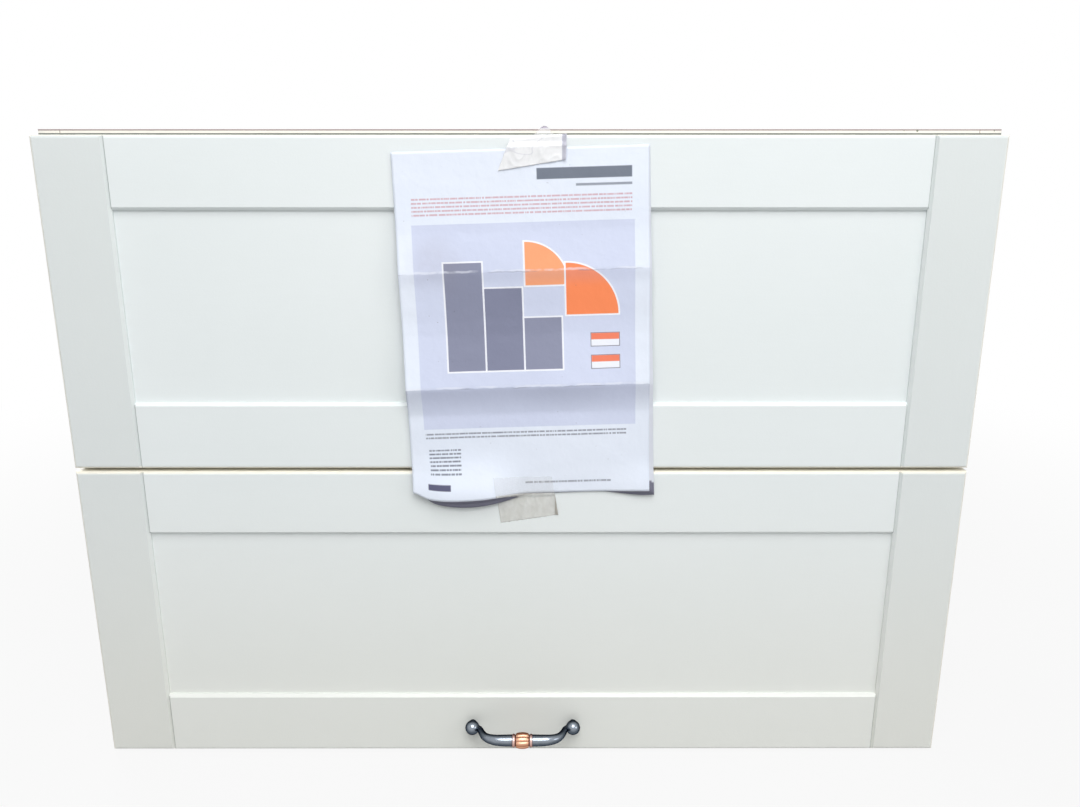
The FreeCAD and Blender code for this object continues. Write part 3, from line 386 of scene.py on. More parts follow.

# %% [markdown]
# ## Antique pewter and copper
# The handle was darkened in a bath and then buffed by hand. The buff rides over the outer and
# upper side, which is polished grey with a painted highlight, and leaves the joints nearly black.
# Painted shade darkens the sides that face down and those that face up and back. The object's own
# normal tells where the buff and the painted light fall, so the finish doesn't depend on the view.

# %% The handle's two finishes


def buffed(name, polished_and_lit, dull, patina_and_shade, rim, rough, cuts=()):
    """`cuts` are the places along X where a turned groove has stayed dark."""
    piece = Finish(name, Metallic=1.0, Specular_Tint=rim)
    scratch = piece.cloud(260, 4, (0.25, 2, 2))
    blotch = piece.cloud(170, 3, shift=(4, 4, 1))
    # where the surface faces out and up the tone is polished: partly the real buff, partly a painted
    # highlight
    buff_and_highlight = piece.step(piece.facing(0, -0.75, 0.66) + blotch * 0.2, 0.72, 1.08)
    # painted shade: surfaces that face down, and those that face up and back, are darkened
    under = piece.step(piece.facing(0, 0.1, -1), 0.35, 0.9)
    crown = piece.step(piece.facing(0, 0.5, 1), 0.55, 0.95)
    tone = piece.mix(buff_and_highlight, dull, polished_and_lit)
    tone = piece.mix(scratch * 0.25, tone, patina_and_shade)
    tone = piece.mix(under.most(crown) * 0.75, tone, patina_and_shade)
    for place in cuts:
        groove = piece.step(abs(abs(piece.axis("X") - BEAD.x) - place), 0.8 * MM, 0.4 * MM)
        tone = piece.mix(groove * 0.85, tone, patina_and_shade)
    piece.feed(Base_Color=tone, Roughness=rough + 0.14 * scratch - 0.06 * buff_and_highlight,
               Normal=piece.bump(scratch, 0.00004))
    return piece.material


PEWTER = buffed("antique_pewter", colour(150, 158, 168), colour(90, 98, 108),
                colour(40, 43, 50), colour(90, 95, 110), 0.2)
COPPER = buffed("antique_copper", colour(232, 180, 150), colour(196, 142, 114),
                colour(116, 76, 58), colour(150, 100, 80), 0.32)
COLLAR_COPPER = buffed("worn_copper", colour(240, 206, 196), colour(206, 166, 156),
                       colour(62, 42, 46), colour(150, 110, 100), 0.28, (6.2 * MM, 9.8 * MM))
print("pewter and copper are buffed")

# %% [markdown]
# ## Moulded plastic and rubber
# The lift unit's cover is grey plastic from a spark-eroded mould, which prints a fine even grain.
# The buffers are clear rubber.

# %% Plastic and rubber finishes


def moulded():
    shell = Finish("grey_moulded_plastic", IOR=1.46)
    grain = shell.cloud(1500, 1)
    flow = shell.cloud(9, 3, (1, 1, 2))
    tone = shell.mix(flow, colour(156, 159, 162), colour(168, 171, 173))
    shell.feed(Base_Color=shell.mix(grain * 0.2, tone, colour(132, 135, 138)),
               Roughness=0.42 + 0.15 * grain, Normal=shell.bump(grain, 0.00006))
    return shell.material


def soft_rubber():
    rubber = Finish("clear_rubber", Transmission_Weight=0.5, IOR=1.48)
    cloudy = rubber.cloud(500, 2)
    rubber.feed(Base_Color=rubber.mix(cloudy, colour(228, 230, 228), colour(206, 208, 206)),
                Roughness=0.3 + 0.2 * cloudy)
    return rubber.material


PLASTIC = moulded()
RUBBER = soft_rubber()
print("plastic and rubber are ready")

# %% [markdown]
# ## Dressing the nodes that keep their form
# A node whose form is right only needs its finish, which goes into its object's material slot.
# The list pairs the start of a node's name with the finish, and the first that fits wins.

# %% Finish for every node
DRESS = (
    ("side_panel", CARCASE_BOARD), ("top_panel", CARCASE_BOARD), ("bottom_panel", CARCASE_BOARD),
    ("shelf_pins", NICKEL), ("shelf", CARCASE_BOARD), ("back_panel", BACK_BOARD),
    ("upper_stile", STILE_LACQUER), ("lower_stile", STILE_LACQUER),
    ("upper_rail", RAIL_LACQUER), ("lower_rail", RAIL_LACQUER),
    ("upper_panel", RAIL_LACQUER), ("lower_panel", RAIL_LACQUER),
    ("lift_cover", PLASTIC), ("lift_base", ZINC), ("lift_arm", ZINC), ("lift_rod", NICKEL),
    ("lift_shaft", ZINC), ("spring_pack", SPRING_STEEL), ("arm_bracket", ZINC),
    ("cabinet_hanger", PLASTIC), ("hanger_hook", ZINC), ("hinge", NICKEL), ("seam", NICKEL),
    ("handle_bow", PEWTER), ("handle_bead", COPPER), ("handle_collars", COLLAR_COPPER),
    ("handle_bolts", ZINC), ("door_buffers", RUBBER), ("", NICKEL),
)
for node, thing in nodes.items():
    finish = next(material for start, material in DRESS if node.startswith(start))
    if not thing.material_slots:
        thing.data.materials.append(finish)
    for material_slot in thing.material_slots:
        material_slot.material = finish
print("dressed", len(nodes), "nodes")

# %% [markdown]
# ## Helpers for new pieces
# Every new piece is a closed mesh in the frame's own coordinates, with its object at the origin.
# `settle` gives it a finish, a body to ride on and the nodes that it stands for.

# %% Mesh helpers


def mesh_piece(name, points, faces):
    data = bpy.data.meshes.new(name)
    data.from_pydata([tuple(point) for point in points], [], faces)
    data.update()
    data.shade_smooth()
    piece = bpy.data.objects.new(name, data)
    bpy.context.scene.collection.objects.link(piece)
    return piece


def baked(piece):
    """The piece as its modifiers leave it, as a plain mesh with none."""
    bpy.context.view_layer.update()
    seen = piece.evaluated_get(bpy.context.evaluated_depsgraph_get())
    data = bpy.data.meshes.new_from_object(seen)
    piece.modifiers.clear()
    piece.data = data
    return piece


def outward(piece, merge=1e-7):
    """Close the seams and point the faces outwards."""
    work = bmesh.new()
    work.from_mesh(piece.data)
    bmesh.ops.remove_doubles(work, verts=work.verts, dist=merge)
    bmesh.ops.recalc_face_normals(work, faces=work.faces)
    work.to_mesh(piece.data)
    work.free()
    return piece


def settle(piece, finish, body, slot, *stands_for):
    if finish:
        piece.data.materials.clear()
        piece.data.materials.append(finish)
    if body:
        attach(piece, body)
    if stands_for:
        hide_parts(*stands_for)
    print(piece.name, "has", len(piece.data.polygons), "faces")
    return piece


def ring_skin(rings):
    """Points and faces of a skin over closed rings, with a point at each end."""
    count = len(rings[0])
    points = [point for ring in rings for point in ring]
    faces = []
    for row in range(len(rings) - 1):
        for step in range(count):
            here, after = row * count + step, row * count + (step + 1) % count
            faces.append((here, after, after + count, here + count))
    return points, faces


def joined(pieces, name):
    """Several pieces as one, under a new name."""
    with bpy.context.temp_override(active_object=pieces[0], selected_editable_objects=pieces):
        bpy.ops.object.join()
    pieces[0].name = name
    return pieces[0]


def turned(name, profile, base, axis, steps=64):
    """A lathe form: (reach along the axis, radius) in millimetres, from `base`."""
    turn = Vector((0, 0, 1)).rotation_difference(Vector(axis)).to_matrix()
    rings = []
    for reach, radius in profile:
        ring = []
        for step in range(steps):
            angle = math.tau * step / steps
            spot = Vector((radius * math.cos(angle), radius * math.sin(angle), reach)) * MM
            ring.append(Vector(base) + turn @ spot)
        rings.append(ring)
    return outward(mesh_piece(name, *ring_skin(rings)))


print("mesh helpers are ready")

# %% [markdown]
# ## The handle's bow
# Each half of the bow is one casting: a ball on a short foot, a thin neck that leaves the ball
# sideways, turns out from the door and swells towards the middle. It could be a bevelled curve,
# but the ball has to run into the neck without a seam, so rings are placed one by one: first the
# circles that slice the ball, then circles along a smooth path, each with its own radius.

# %% Ball, neck and bow as one skin
BALL_RADIUS = 6.75
BALL_OFF = 8.0
HANDLE_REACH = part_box("handle_bow_right")[1].x / MM - BALL_RADIUS
# (distance from the door, radius) of the foot under a ball
FOOT = ((0, 0), (0, 3.5), (0.7, 3.6), (1.2, 3.3), (2.4, 3.1), (8, 3.1), (8, 0))
# (distance from the middle, distance from the door, radius) in millimetres
BOW_PATH = ((42.6, 8.6, 2.8), (40.4, 11.2, 2.85), (38.5, 16.3, 3.15), (35.6, 21.6, 3.65),
            (31.0, 25.4, 4.25), (24.5, 27.4, 4.85), (17.0, 28.0, 5.2), (10.4, 28.0, 5.35),
            (8.0, 28.0, 5.35))
RING_STEPS = 48
BALL_SLICES = 22
PATH_STEPS = 9
# the last slice of the ball is a little wider than the neck, and hides the first path steps
NECK_FIT = 1.04
HIDDEN_STEPS = 2


def smooth_path(stations, steps):
    """A Catmull-Rom line through stations of any width."""
    ends = [stations[0], *stations, stations[-1]]
    line = []
    for first, second, third, fourth in zip(ends, ends[1:], ends[2:], ends[3:]):
        for step in range(steps):
            t = step / steps
            line.append([0.5 * (2 * b + (c - a) * t + (2 * a - 5 * b + 4 * c - d) * t * t
                                + (3 * b - a - 3 * c + d) * t ** 3)
                         for a, b, c, d in zip(first, second, third, fourth)])
    line.append(list(stations[-1]))
    return line


def bow_half(side):
    ball = Vector((HANDLE_REACH, BALL_OFF))
    leave = (Vector(BOW_PATH[0][:2]) - ball).normalized()
    last_cut = math.acos(BOW_PATH[0][2] * NECK_FIT / BALL_RADIUS)
    stations = []
    for slice_number in range(BALL_SLICES + 1):
        angle = -math.pi / 2 + (last_cut + math.pi / 2) * slice_number / BALL_SLICES
        spot = ball + leave * BALL_RADIUS * math.sin(angle)
        stations.append((spot.x, spot.y, max(BALL_RADIUS * math.cos(angle), 0.001)))
    start = len(stations)
    stations += [tuple(spot) for spot in smooth_path(BOW_PATH, PATH_STEPS)[HIDDEN_STEPS:]]
    rings = []
    for number, (across, off, radius) in enumerate(stations):
        before = stations[max(number - 1, 0)]
        after = stations[min(number + 1, len(stations) - 1)]
        along = leave if number < start else Vector((after[0] - before[0], after[1] - before[1]))
        along = along.normalized()
        aside = Vector((-along.y, along.x))
        ring = []
        for step in range(RING_STEPS):
            angle = math.tau * step / RING_STEPS
            flat = aside * radius * math.cos(angle)
            ring.append(Vector((side * (across + flat.x) * MM, FACE - (off + flat.y) * MM,
                                BEAD.z + radius * math.sin(angle) * MM)))
        rings.append(ring)
    rings.append([Vector((side * stations[-1][0] * MM, FACE - stations[-1][1] * MM, BEAD.z))]
                 * RING_STEPS)
    return rings


for side_name, side in (("left", -1), ("right", 1)):
    bow = outward(mesh_piece(f"bow_{side_name}", *ring_skin(bow_half(side))))
    foot = turned(f"bow_foot_{side_name}", FOOT, (side * HANDLE_REACH * MM, FACE, BEAD.z),
                  (0, -1, 0), 48)
    settle(foot, PEWTER, "lower_flap", "pewter")
    settle(bow, PEWTER, "lower_flap", "pewter", f"handle_bow_{side_name}")

# %% [markdown]
# ## The ribbed bead
# The bead is a barrel with melon ribs, which is a rule and not a drawing: the radius at each place
# is the barrel's curve less a groove between two ribs. Geometry Nodes work that out for every
# point of a flat grid, which is rolled up and closed at both ends.

# %% A Geometry Nodes tree with named inputs


class Growth(Tree):
    """A Geometry Nodes tree that grows one piece."""

    def __init__(self, name, inputs):
        tree = bpy.data.node_groups.new(name, "GeometryNodeTree")
        super().__init__(tree)
        tree.interface.new_socket("Geometry", in_out="INPUT", socket_type="NodeSocketGeometry")
        self.sockets = {}
        for word, number in inputs.items():
            made = tree.interface.new_socket(word, in_out="INPUT", socket_type="NodeSocketFloat")
            made.default_value = number
            self.sockets[word] = made.identifier
        tree.interface.new_socket("Geometry", in_out="OUTPUT", socket_type="NodeSocketGeometry")
        self.entry = tree.nodes.new("NodeGroupInput")

    def given(self, word):
        return Value(self, self.entry.outputs[word])

    def end(self, geometry, finish, smooth=True):
        whole = self.node("GeometryNodeRealizeInstances", {}, {"Geometry": geometry})
        if smooth:
            whole = self.node("GeometryNodeSetShadeSmooth", {}, {"Geometry": whole})
        whole = self.node("GeometryNodeSetMaterial", {}, {"Geometry": whole, "Material": finish})
        last = self.tree.nodes.new("NodeGroupOutput")
        self.tree.links.new(whole.socket, last.inputs[0])

    def grow(self, piece, **numbers):
        """Run the tree on a piece and leave a plain mesh."""
        modifier = piece.modifiers.new("growth", "NODES")
        modifier.node_group = self.tree
        for word, number in numbers.items():
            modifier[self.sockets[word]] = float(number)
        return baked(piece)


# The grid runs a little past the barrel's two ends, and that last share of it closes them.
BARREL_SPAN = 2.1
END_SHARE = 0.0238
BARREL_BELLY = 0.62
RIB_FULLNESS = 0.45


def barrel_tree():
    tree = Growth("ribbed_barrel", {"Width": 0.012, "Radius": 0.007, "End": 0.006, "Ribs": 8.0,
                                    "Groove": 0.1, "Twist": 0.0})
    grid = tree.node("GeometryNodeMeshGrid", {}, {"Size X": 1.0, "Size Y": 1.0,
                                                  "Vertices X": 193, "Vertices Y": 49})
    spot = tree.node("GeometryNodeInputPosition")
    around = tree.coordinate(spot, "X") * math.tau
    edge = tree.coordinate(spot, "Y")
    along = (edge * BARREL_SPAN).least(1.0).most(-1.0)
    belly = (1 - along * along) ** BARREL_BELLY
    lobe = abs(tree.node("ShaderNodeMath", {"operation": "COSINE"},
                         {0: around * tree.given("Ribs") * 0.5 + tree.given("Twist") * along}))
    depth = tree.given("Groove") * (1 - lobe ** RIB_FULLNESS)
    radius = tree.given("End") + (tree.given("Radius") - tree.given("End")) * belly
    radius = radius * (1 - depth)
    radius = radius * ((0.5 - abs(edge)) / END_SHARE).least(1.0)
    cosine = tree.node("ShaderNodeMath", {"operation": "COSINE"}, {0: around})
    sine = tree.node("ShaderNodeMath", {"operation": "SINE"}, {0: around})
    moved = tree.node("ShaderNodeCombineXYZ", {}, {0: along * tree.given("Width") * 0.5,
                                                   1: radius * cosine, 2: radius * sine})
    rolled = tree.node("GeometryNodeSetPosition", {}, {"Geometry": grid, "Position": moved})
    tree.end(tree.node("GeometryNodeMergeByDistance", {}, {"Geometry": rolled,
                                                           "Distance": 1e-6}), COPPER)
    return tree


BEAD_RIBS = 8
bead = mesh_piece("ribbed_bead", [(0, 0, 0)], [])
barrel_tree().grow(bead, Width=12.2 * MM, Radius=7.4 * MM, End=5.9 * MM, Ribs=BEAD_RIBS,
                   Groove=0.17, Twist=0.12)
bead.data.transform(Matrix.Translation(BEAD))
settle(outward(bead), None, "lower_flap", "copper", "handle_bead")

# %% [markdown]
# ## Collars
# A turned collar closes each end of the bow. Its sharp shoulders catch the light and the cuts on
# both sides of it stay dark, so both are in the profile.

# %% Two turned collars
COLLAR = ((0, 0), (0, 5.3), (0.25, 5.5), (0.6, 5.15), (0.8, 5.15), (1.0, 5.7), (1.5, 6.0),
          (2.6, 6.0), (3.1, 5.7), (3.3, 5.2), (3.7, 5.2), (3.9, 5.2), (3.9, 0))
collars = []
for side in (-1, 1):
    base = (BEAD.x + side * 10.1 * MM, BEAD.y, BEAD.z)
    collars.append(turned(f"collar_{side}", COLLAR, base, (-side, 0, 0), 64))
settle(joined(collars, "turned_collars"), COLLAR_COPPER, "lower_flap", "copper", "handle_collars")

# %% [markdown]
# ## The leaflet's sheets
# A leaflet is taped over the seam of the flaps. It was folded in three, so two creases stand off
# the door, its edges have curled, and the lower left corner has rolled forward. Two more sheets
# lie behind the first, each a little turned, and only their edges show. A cloth simulation would
# give soft folds but no sharp crease, so each sheet is a grid whose points are lifted by one
# formula and then given the thickness of paper. All lengths in this cell are in millimetres.

# %% Sheets of paper
SHEET_WIDE = 210.0
SHEET_TALL = 297.0
SHEET_TURN = math.radians(1.7)
PAPER_THICK = 0.14
# (height on the sheet, how far the crease stands out, run above it, run below it)
CREASES = ((49.5, 4.2, 34, 42), (-49.5, 6.0, 46, 25))
# (height, patch across, patch up, seed) of the waves in the paper
WAVES = ((0.8, 70, 50, 2.3), (0.2, 16, 12, 7.3))
LEAST_LIFT = 1.5
FLAT_LIFT = 1.8
CORNER_ROLL = 9.0
EDGE_CURL = 2.4
RIGHT_FOOT_LIFT = 3.4
# the foot of the sheets: how far the left half sags, the left corner rises and the pages hang
FOOT_SAG = 3.0
CORNER_RISE = 5.0
LEFT_HANG = 3.2
RIGHT_HANG = 2.2
# a page behind is turned by PAGE_FAN, in radians, and slid across and up
PAGE_FAN = 0.006
PAGE_SLIDE = (1.3, -0.5)


def ease(share):
    share = min(max(share, 0.0), 1.0)
    return share * share * (3 - 2 * share)


def rolled_corner(u, v):
    """How far the lower left of the sheet has rolled forward."""
    across = ease((-2 - u) / 42) * (1 - 0.4 * ease((-72 - u) / 30))
    return CORNER_ROLL * ease((-96 - v) / 54) ** 2 * across


def front_lift(u, v):
    """How far the front page stands off the door, at u across and v up from its middle."""
    lift = FLAT_LIFT + rolled_corner(u, v)
    for level, height, above, below in CREASES:
        run = above if v > level else below
        rise = max(0.0, 1 - abs(v - level) / run) ** 1.15
        lift += height * rise * (0.9 + 0.3 * noise.noise(Vector((u / 55, level, 4.0))))
    lift += EDGE_CURL * (2 * abs(u) / SHEET_WIDE) ** 6 * (0.6 + 0.4 * math.cos(v / 46))
    for height, across, up, seed in WAVES:
        lift += height * noise.noise(Vector((u / across, v / up, seed)))
    lift += RIGHT_FOOT_LIFT * ease((-118 - v) / 32) * ease((u - 58) / 44)
    return max(lift, LEAST_LIFT)


def page_lift(u, v, page):
    """The same for a page behind: always a little nearer to the door than the front page."""
    behind = front_lift(u, v) - 0.4 * rolled_corner(u, v) * min(page, 1)
    return max(behind * (1 - 0.1 * page) - 0.4 * page, 0.25)


def on_door(u, v):
    """Where a place of the leaflet lies on the door, x and z."""
    return (LEAFLET.x + (u * math.cos(SHEET_TURN) - v * math.sin(SHEET_TURN)) * MM,
            LEAFLET.z + (u * math.sin(SHEET_TURN) + v * math.cos(SHEET_TURN)) * MM)


def sheet_point(u, v, page):
    """A point of a page in space; pages are counted from 0 at the front."""
    fan = PAGE_FAN * page
    foot = ease((-112 - v) / 34)
    leftward = min(max(-2 * u / SHEET_WIDE, 0.0), 1.0)
    hang = FOOT_SAG * math.sin(leftward ** 1.5 * math.pi) - CORNER_RISE * ease((-84 - u) / 21) ** 2
    crescent = math.sin(min(max((-10 - u) / 95, 0.0), 1.0) * math.pi) ** 0.8
    hang += page * (LEFT_HANG * crescent + RIGHT_HANG * ease((u - 52) / 46))
    across = u * math.cos(fan) - v * math.sin(fan) + PAGE_SLIDE[0] * page
    up = u * math.sin(fan) + v * math.cos(fan) + PAGE_SLIDE[1] * page - foot * hang
    x, z = on_door(across, up)
    return Vector((x, FACE - page_lift(across, up, page) * MM, z))


def sheet_grid(name, columns, rows, page):
    """One page as a grid with its own map: the front page runs 0 to 1, pages behind lie beside it."""
    points = []
    places = []
    for row in range(rows + 1):
        for column in range(columns + 1):
            share = (column / columns, row / rows)
            points.append(sheet_point((share[0] - 0.5) * SHEET_WIDE, (share[1] - 0.5) * SHEET_TALL,
                                      page))
            places.append((share[0] + 2 * page, share[1]))
    wide = columns + 1
    faces = [(row * wide + column, row * wide + column + 1, (row + 1) * wide + column + 1,
              (row + 1) * wide + column) for row in range(rows) for column in range(columns)]
    piece = mesh_piece(name, points, faces)
    layer = piece.data.uv_layers.new(name="sheet")
    for loop in piece.data.loops:
        layer.data[loop.index].uv = places[loop.vertex_index]
    return piece


def thicken(piece, thickness):
    wall = piece.modifiers.new("paper", "SOLIDIFY")
    wall.thickness = thickness
    wall.offset = -1
    return baked(piece)


pages = [thicken(sheet_grid(f"page_{page}", columns, rows, page), PAPER_THICK * MM)
         for page, columns, rows in ((0, 96, 136), (1, 60, 84), (2, 60, 84))]
leaflet = joined(pages, "taped_leaflet")
print("leaflet of", len(leaflet.data.polygons), "faces")

# %% [markdown]
# ## What is printed on it
# The print is plain fields of colour with simple shapes, laid out from masks on the sheet's own
# map in millimetres. A mask is a product of steps: a bar is two steps across and two up, a disc
# is one step on the distance from its middle, and a fan is a disc cut by two straight slopes.
# Rows of small type are only broken bars.

# %% Masks and inks of the print
RIM = colour(246, 248, 255)
RIM_WIDE = 1.4
PRINT_SOFT = 0.25
# (left, top, ink) of three columns that step down to the right
COLUMNS = ((38, 206, colour(136, 140, 163)), (71, 184, colour(128, 132, 156)),
           (104, 158, colour(139, 143, 166)))
COLUMN_FOOT = 114
COLUMN_WIDE = 31.6
# (corner across, corner up, radius, ink) of two fans over the steps
FANS = ((106, 186, 36, colour(250, 164, 116)), (140, 160, 44, colour(252, 140, 88)))
# (left, low) of two small labels, half red and half white
LABELS = ((160, 132), (160, 113))
# (left, right, low, high, pitch, seed), strength and ink of the rows of small type
TYPE_ROWS = (((14, 196, 244, 260, 3.2, 1.0), 0.62, colour(196, 120, 130)),
             ((14, 190, 52, 59, 3.4, 5.0), 0.75, colour(110, 112, 124)),
             ((16, 44, 20, 44, 3.4, 9.0), 0.8, colour(92, 96, 112)),
             ((100, 176, 8, 12, 4.0, 3.0), 0.7, colour(110, 112, 124)))


class Print(Finish):
    """Paper whose inks are laid by masks in millimetres from the sheet's lower left corner."""

    def __init__(self, name, **constants):
        super().__init__(name, **constants)
        spot = self.node("ShaderNodeUVMap", {"uv_map": "sheet"})
        self.across = self.coordinate(spot, "X") * SHEET_WIDE
        self.up = self.coordinate(spot, "Y") * SHEET_TALL

    def bar(self, left, right, low, high, soft=PRINT_SOFT):
        mask = self.step(self.across, left - soft, left + soft)
        mask = mask * self.step(self.across, right + soft, right - soft)
        mask = mask * self.step(self.up, low - soft, low + soft)
        return mask * self.step(self.up, high + soft, high - soft)

    def distance(self, across, up):
        return ((self.across - across) ** 2.0 + (self.up - up) ** 2.0) ** 0.5

    def disc(self, across, up, radius):
        return self.step(self.distance(across, up), radius + PRINT_SOFT, radius - PRINT_SOFT)

    def slope(self, across, up, angle):
        """1 on one side of a slanted line through a point."""
        turn = math.radians(angle)
        reach = (self.across - across) * math.cos(turn) + (self.up - up) * math.sin(turn)
        return self.step(reach, -PRINT_SOFT, PRINT_SOFT)

    def rows(self, left, right, low, high, pitch, seed):
        """Broken bars where small type would be."""
        wave = self.node("ShaderNodeMath", {"operation": "FRACT"}, {0: (self.up - low) / pitch})
        stripe = self.step(wave, 0.3, 0.42) * self.step(wave, 0.86, 0.74)
        row = self.node("ShaderNodeMath", {"operation": "FLOOR"}, {0: (self.up - low) / pitch})
        where = self.node("ShaderNodeCombineXYZ", {}, {0: self.across / 1.3, 1: row * 7.0 + seed})
        gaps = self.node("ShaderNodeTexNoise", {}, {"Vector": where, "Scale": 1.0, "Detail": 1.0})
        return stripe * self.step(gaps, 0.40, 0.47) * self.bar(left, right, low, high)


def printed_paper():
    paper = Print("printed_paper", Roughness=0.5)
    white = paper.mix(paper.cloud(9, 3), colour(228, 236, 250), colour(235, 241, 252))
    lilac = paper.mix(paper.cloud(14, 3, shift=(3, 0, 3)), colour(206, 213, 236),
                      colour(214, 221, 242))
    ink = white
    field = paper.bar(13, 198, 62, 238)
    ink = paper.mix(field, ink, lilac)
    for left, top, shade in COLUMNS:
        ink = paper.mix(paper.bar(left - RIM_WIDE, left + COLUMN_WIDE + RIM_WIDE,
                                  COLUMN_FOOT - RIM_WIDE, top + RIM_WIDE), ink, RIM)
        ink = paper.mix(paper.bar(left, left + COLUMN_WIDE, COLUMN_FOOT, top), ink, shade)
    for across, up, radius, shade in FANS:
        rim = paper.disc(across, up, radius + RIM_WIDE) * paper.slope(across - RIM_WIDE, up, 0)
        ink = paper.mix(rim * paper.slope(across, up - RIM_WIDE, 90), ink, RIM)
        fan = paper.disc(across, up, radius) * paper.slope(across, up, 0)
        ink = paper.mix(fan * paper.slope(across, up, 90), ink, shade)
    for left, low in LABELS:
        ink = paper.mix(paper.bar(left, left + 25, low, low + 12), ink, colour(120, 118, 130))
        ink = paper.mix(paper.bar(left + 0.6, left + 24.4, low + 0.6, low + 11.4), ink,
                        colour(240, 243, 252))
        ink = paper.mix(paper.bar(left + 0.6, left + 24.4, low + 6, low + 11.4), ink,
                        colour(240, 128, 96))
    ink = paper.mix(paper.bar(118, 196, 272, 281, 0.4), ink, colour(112, 120, 134))
    ink = paper.mix(paper.bar(150, 196, 266, 268, 0.4), ink, colour(150, 156, 168))
    for place, strength, shade in TYPE_ROWS:
        ink = paper.mix(paper.rows(*place) * strength, ink, shade)
    ink = paper.mix(paper.bar(14, 34, 9, 14, 0.5), ink, colour(84, 84, 112))
    return paper, ink


def soiled(paper, ink):
    """Handling marks, a grey smudge at the left and specks; painted shade below the two creases,
    with a pale line and a broken dark line along each; painted shade at the foot of the pages behind.
    """
    smudge = paper.step(paper.distance(30, 205), 34, 4) * paper.cloud(60, 4)
    ink = paper.mix(smudge * 0.28, ink, colour(150, 140, 140))
    specks = paper.step(paper.cloud(420, 2, shift=(6, 1, 3)), 0.76, 0.80)
    ink = paper.mix(specks * 0.5, ink, colour(92, 88, 98))
    wobble = 2.4 * (paper.cloud(110, 3, shift=(2, 2, 9)) - 0.5)
    for level, depth in ((198.0, 0.22), (99.0, 0.55)):
        reach = paper.up - level + wobble
        # painted shade below each crease, where the paper turns down from the ridge
        below = paper.step(reach, 0.3, -0.5) * paper.step(reach, -46.0 * depth - 6.0, -1.0)
        ink = paper.mix(below * depth * 0.75, ink, colour(150, 156, 180))
        # a pale line where the ink has worn off, just above each crease
        line_mask = paper.step(abs(reach - 0.9), 1.3, 0.5) * paper.step(paper.cloud(75, 3), 0.35, 0.6)
        ink = paper.mix(line_mask * 0.45, ink, colour(240, 243, 253))
        # a broken dark line along each crease
        crease_line = paper.step(abs(reach + 0.2), 0.7, 0.15)
        crease_line = crease_line * paper.step(paper.cloud(34, 3, shift=(5, 1, level)), 0.45, 0.62)
        ink = paper.mix(crease_line * 0.6, ink, colour(128, 130, 150))
    back = paper.step(paper.across, SHEET_WIDE + 2, SHEET_WIDE + 4)
    ink = paper.mix(back, ink, colour(222, 226, 236))
    # painted shade: the pages behind are dark along their foot, where the front page shades them
    ink = paper.mix(back * paper.step(paper.up, 12, 10), ink, colour(118, 118, 136))
    return paper.feed(Base_Color=ink, Normal=paper.bump(paper.cloud(130, 4), 0.00035)).material


PAPER = soiled(*printed_paper())
leaflet.data.materials.clear()
leaflet.data.materials.append(PAPER)
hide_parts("leaflet")
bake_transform(leaflet)
print("the leaflet bends across the seam")

# %% [markdown]
# ## Tapes
# Two strips of clear tape hold the leaflet. Tape that was pressed on in haste is never flat: it
# bridges the step from paper to door, has long wrinkles, and its right end is folded under. The
# top one runs over the flap's upper edge, where its loose end stands up. Both could be simulated
# as cloth, but film this stiff only follows what it sticks to. So both are grids that lie on the
# leaflet and the door by the same formula, and then get a thickness.

# %% Strips of tape
TAPE_THICK = 0.09
TAPE_COLUMNS = 60
TOP_CRUMPLE = 0.5 * MM
LOW_CRUMPLE = 0.3 * MM
EDGE_ROUND = 3.0 * MM
SKIN = 0.2 * MM
TOP_EDGES = (-18 * MM, 37.5 * MM)
LOW_EDGES = (-19 * MM, 33 * MM)


def behind_tape(x, z):
    """The y of what the tape sticks to: the leaflet's front, or the door beside it."""
    aside, above = (x - LEAFLET.x) / MM, (z - LEAFLET.z) / MM
    u = aside * math.cos(SHEET_TURN) + above * math.sin(SHEET_TURN)
    v = above * math.cos(SHEET_TURN) - aside * math.sin(SHEET_TURN)
    on_sheet = ease((SHEET_TALL / 2 + 4.5 - abs(v)) / 3.5)
    return FACE - on_sheet * (front_lift(u, v) + 0.2) * MM


def strip(name, path, edges, lean, slant, crumple, seed):
    """Tape between two x values that lean by two amounts, over rows of (y or None, z, stand)."""
    rows = len(path)
    points = []
    for row, (y, z, stand) in enumerate(path):
        for column in range(TAPE_COLUMNS + 1):
            share = column / TAPE_COLUMNS
            x = edges[0] + (edges[1] - edges[0]) * share
            x += (lean[0] + (lean[1] - lean[0]) * share) * row / rows
            height = z + slant * (share - 0.5) * (1 - row / rows)
            height += stand * math.sin(math.pi * min(max((share - 0.36) / 0.38, 0.0), 1.0))
            rough = crumple * (0.4 + noise.noise(Vector((x * 90, height * 60, seed))))
            rough += crumple * (1 - abs(noise.noise(Vector((x * 120, height * 90, seed + 4))))) ** 6
            rough += 1.6 * MM * ease((share - 0.93) / 0.07) * (crumple / TOP_CRUMPLE)
            if row in (0, rows - 1):
                height += 0.5 * MM * noise.noise(Vector((x * 400, 0, seed)))
            base = behind_tape(x, height) - SKIN if y is None else y
            points.append(Vector((x, base - max(rough, 0.0), height)))
    wide = TAPE_COLUMNS + 1
    faces = [(row * wide + column, row * wide + column + 1, (row + 1) * wide + column + 1,
              (row + 1) * wide + column)
             for row in range(rows - 1) for column in range(TAPE_COLUMNS)]
    return thicken(mesh_piece(name, points, faces), TAPE_THICK * MM)


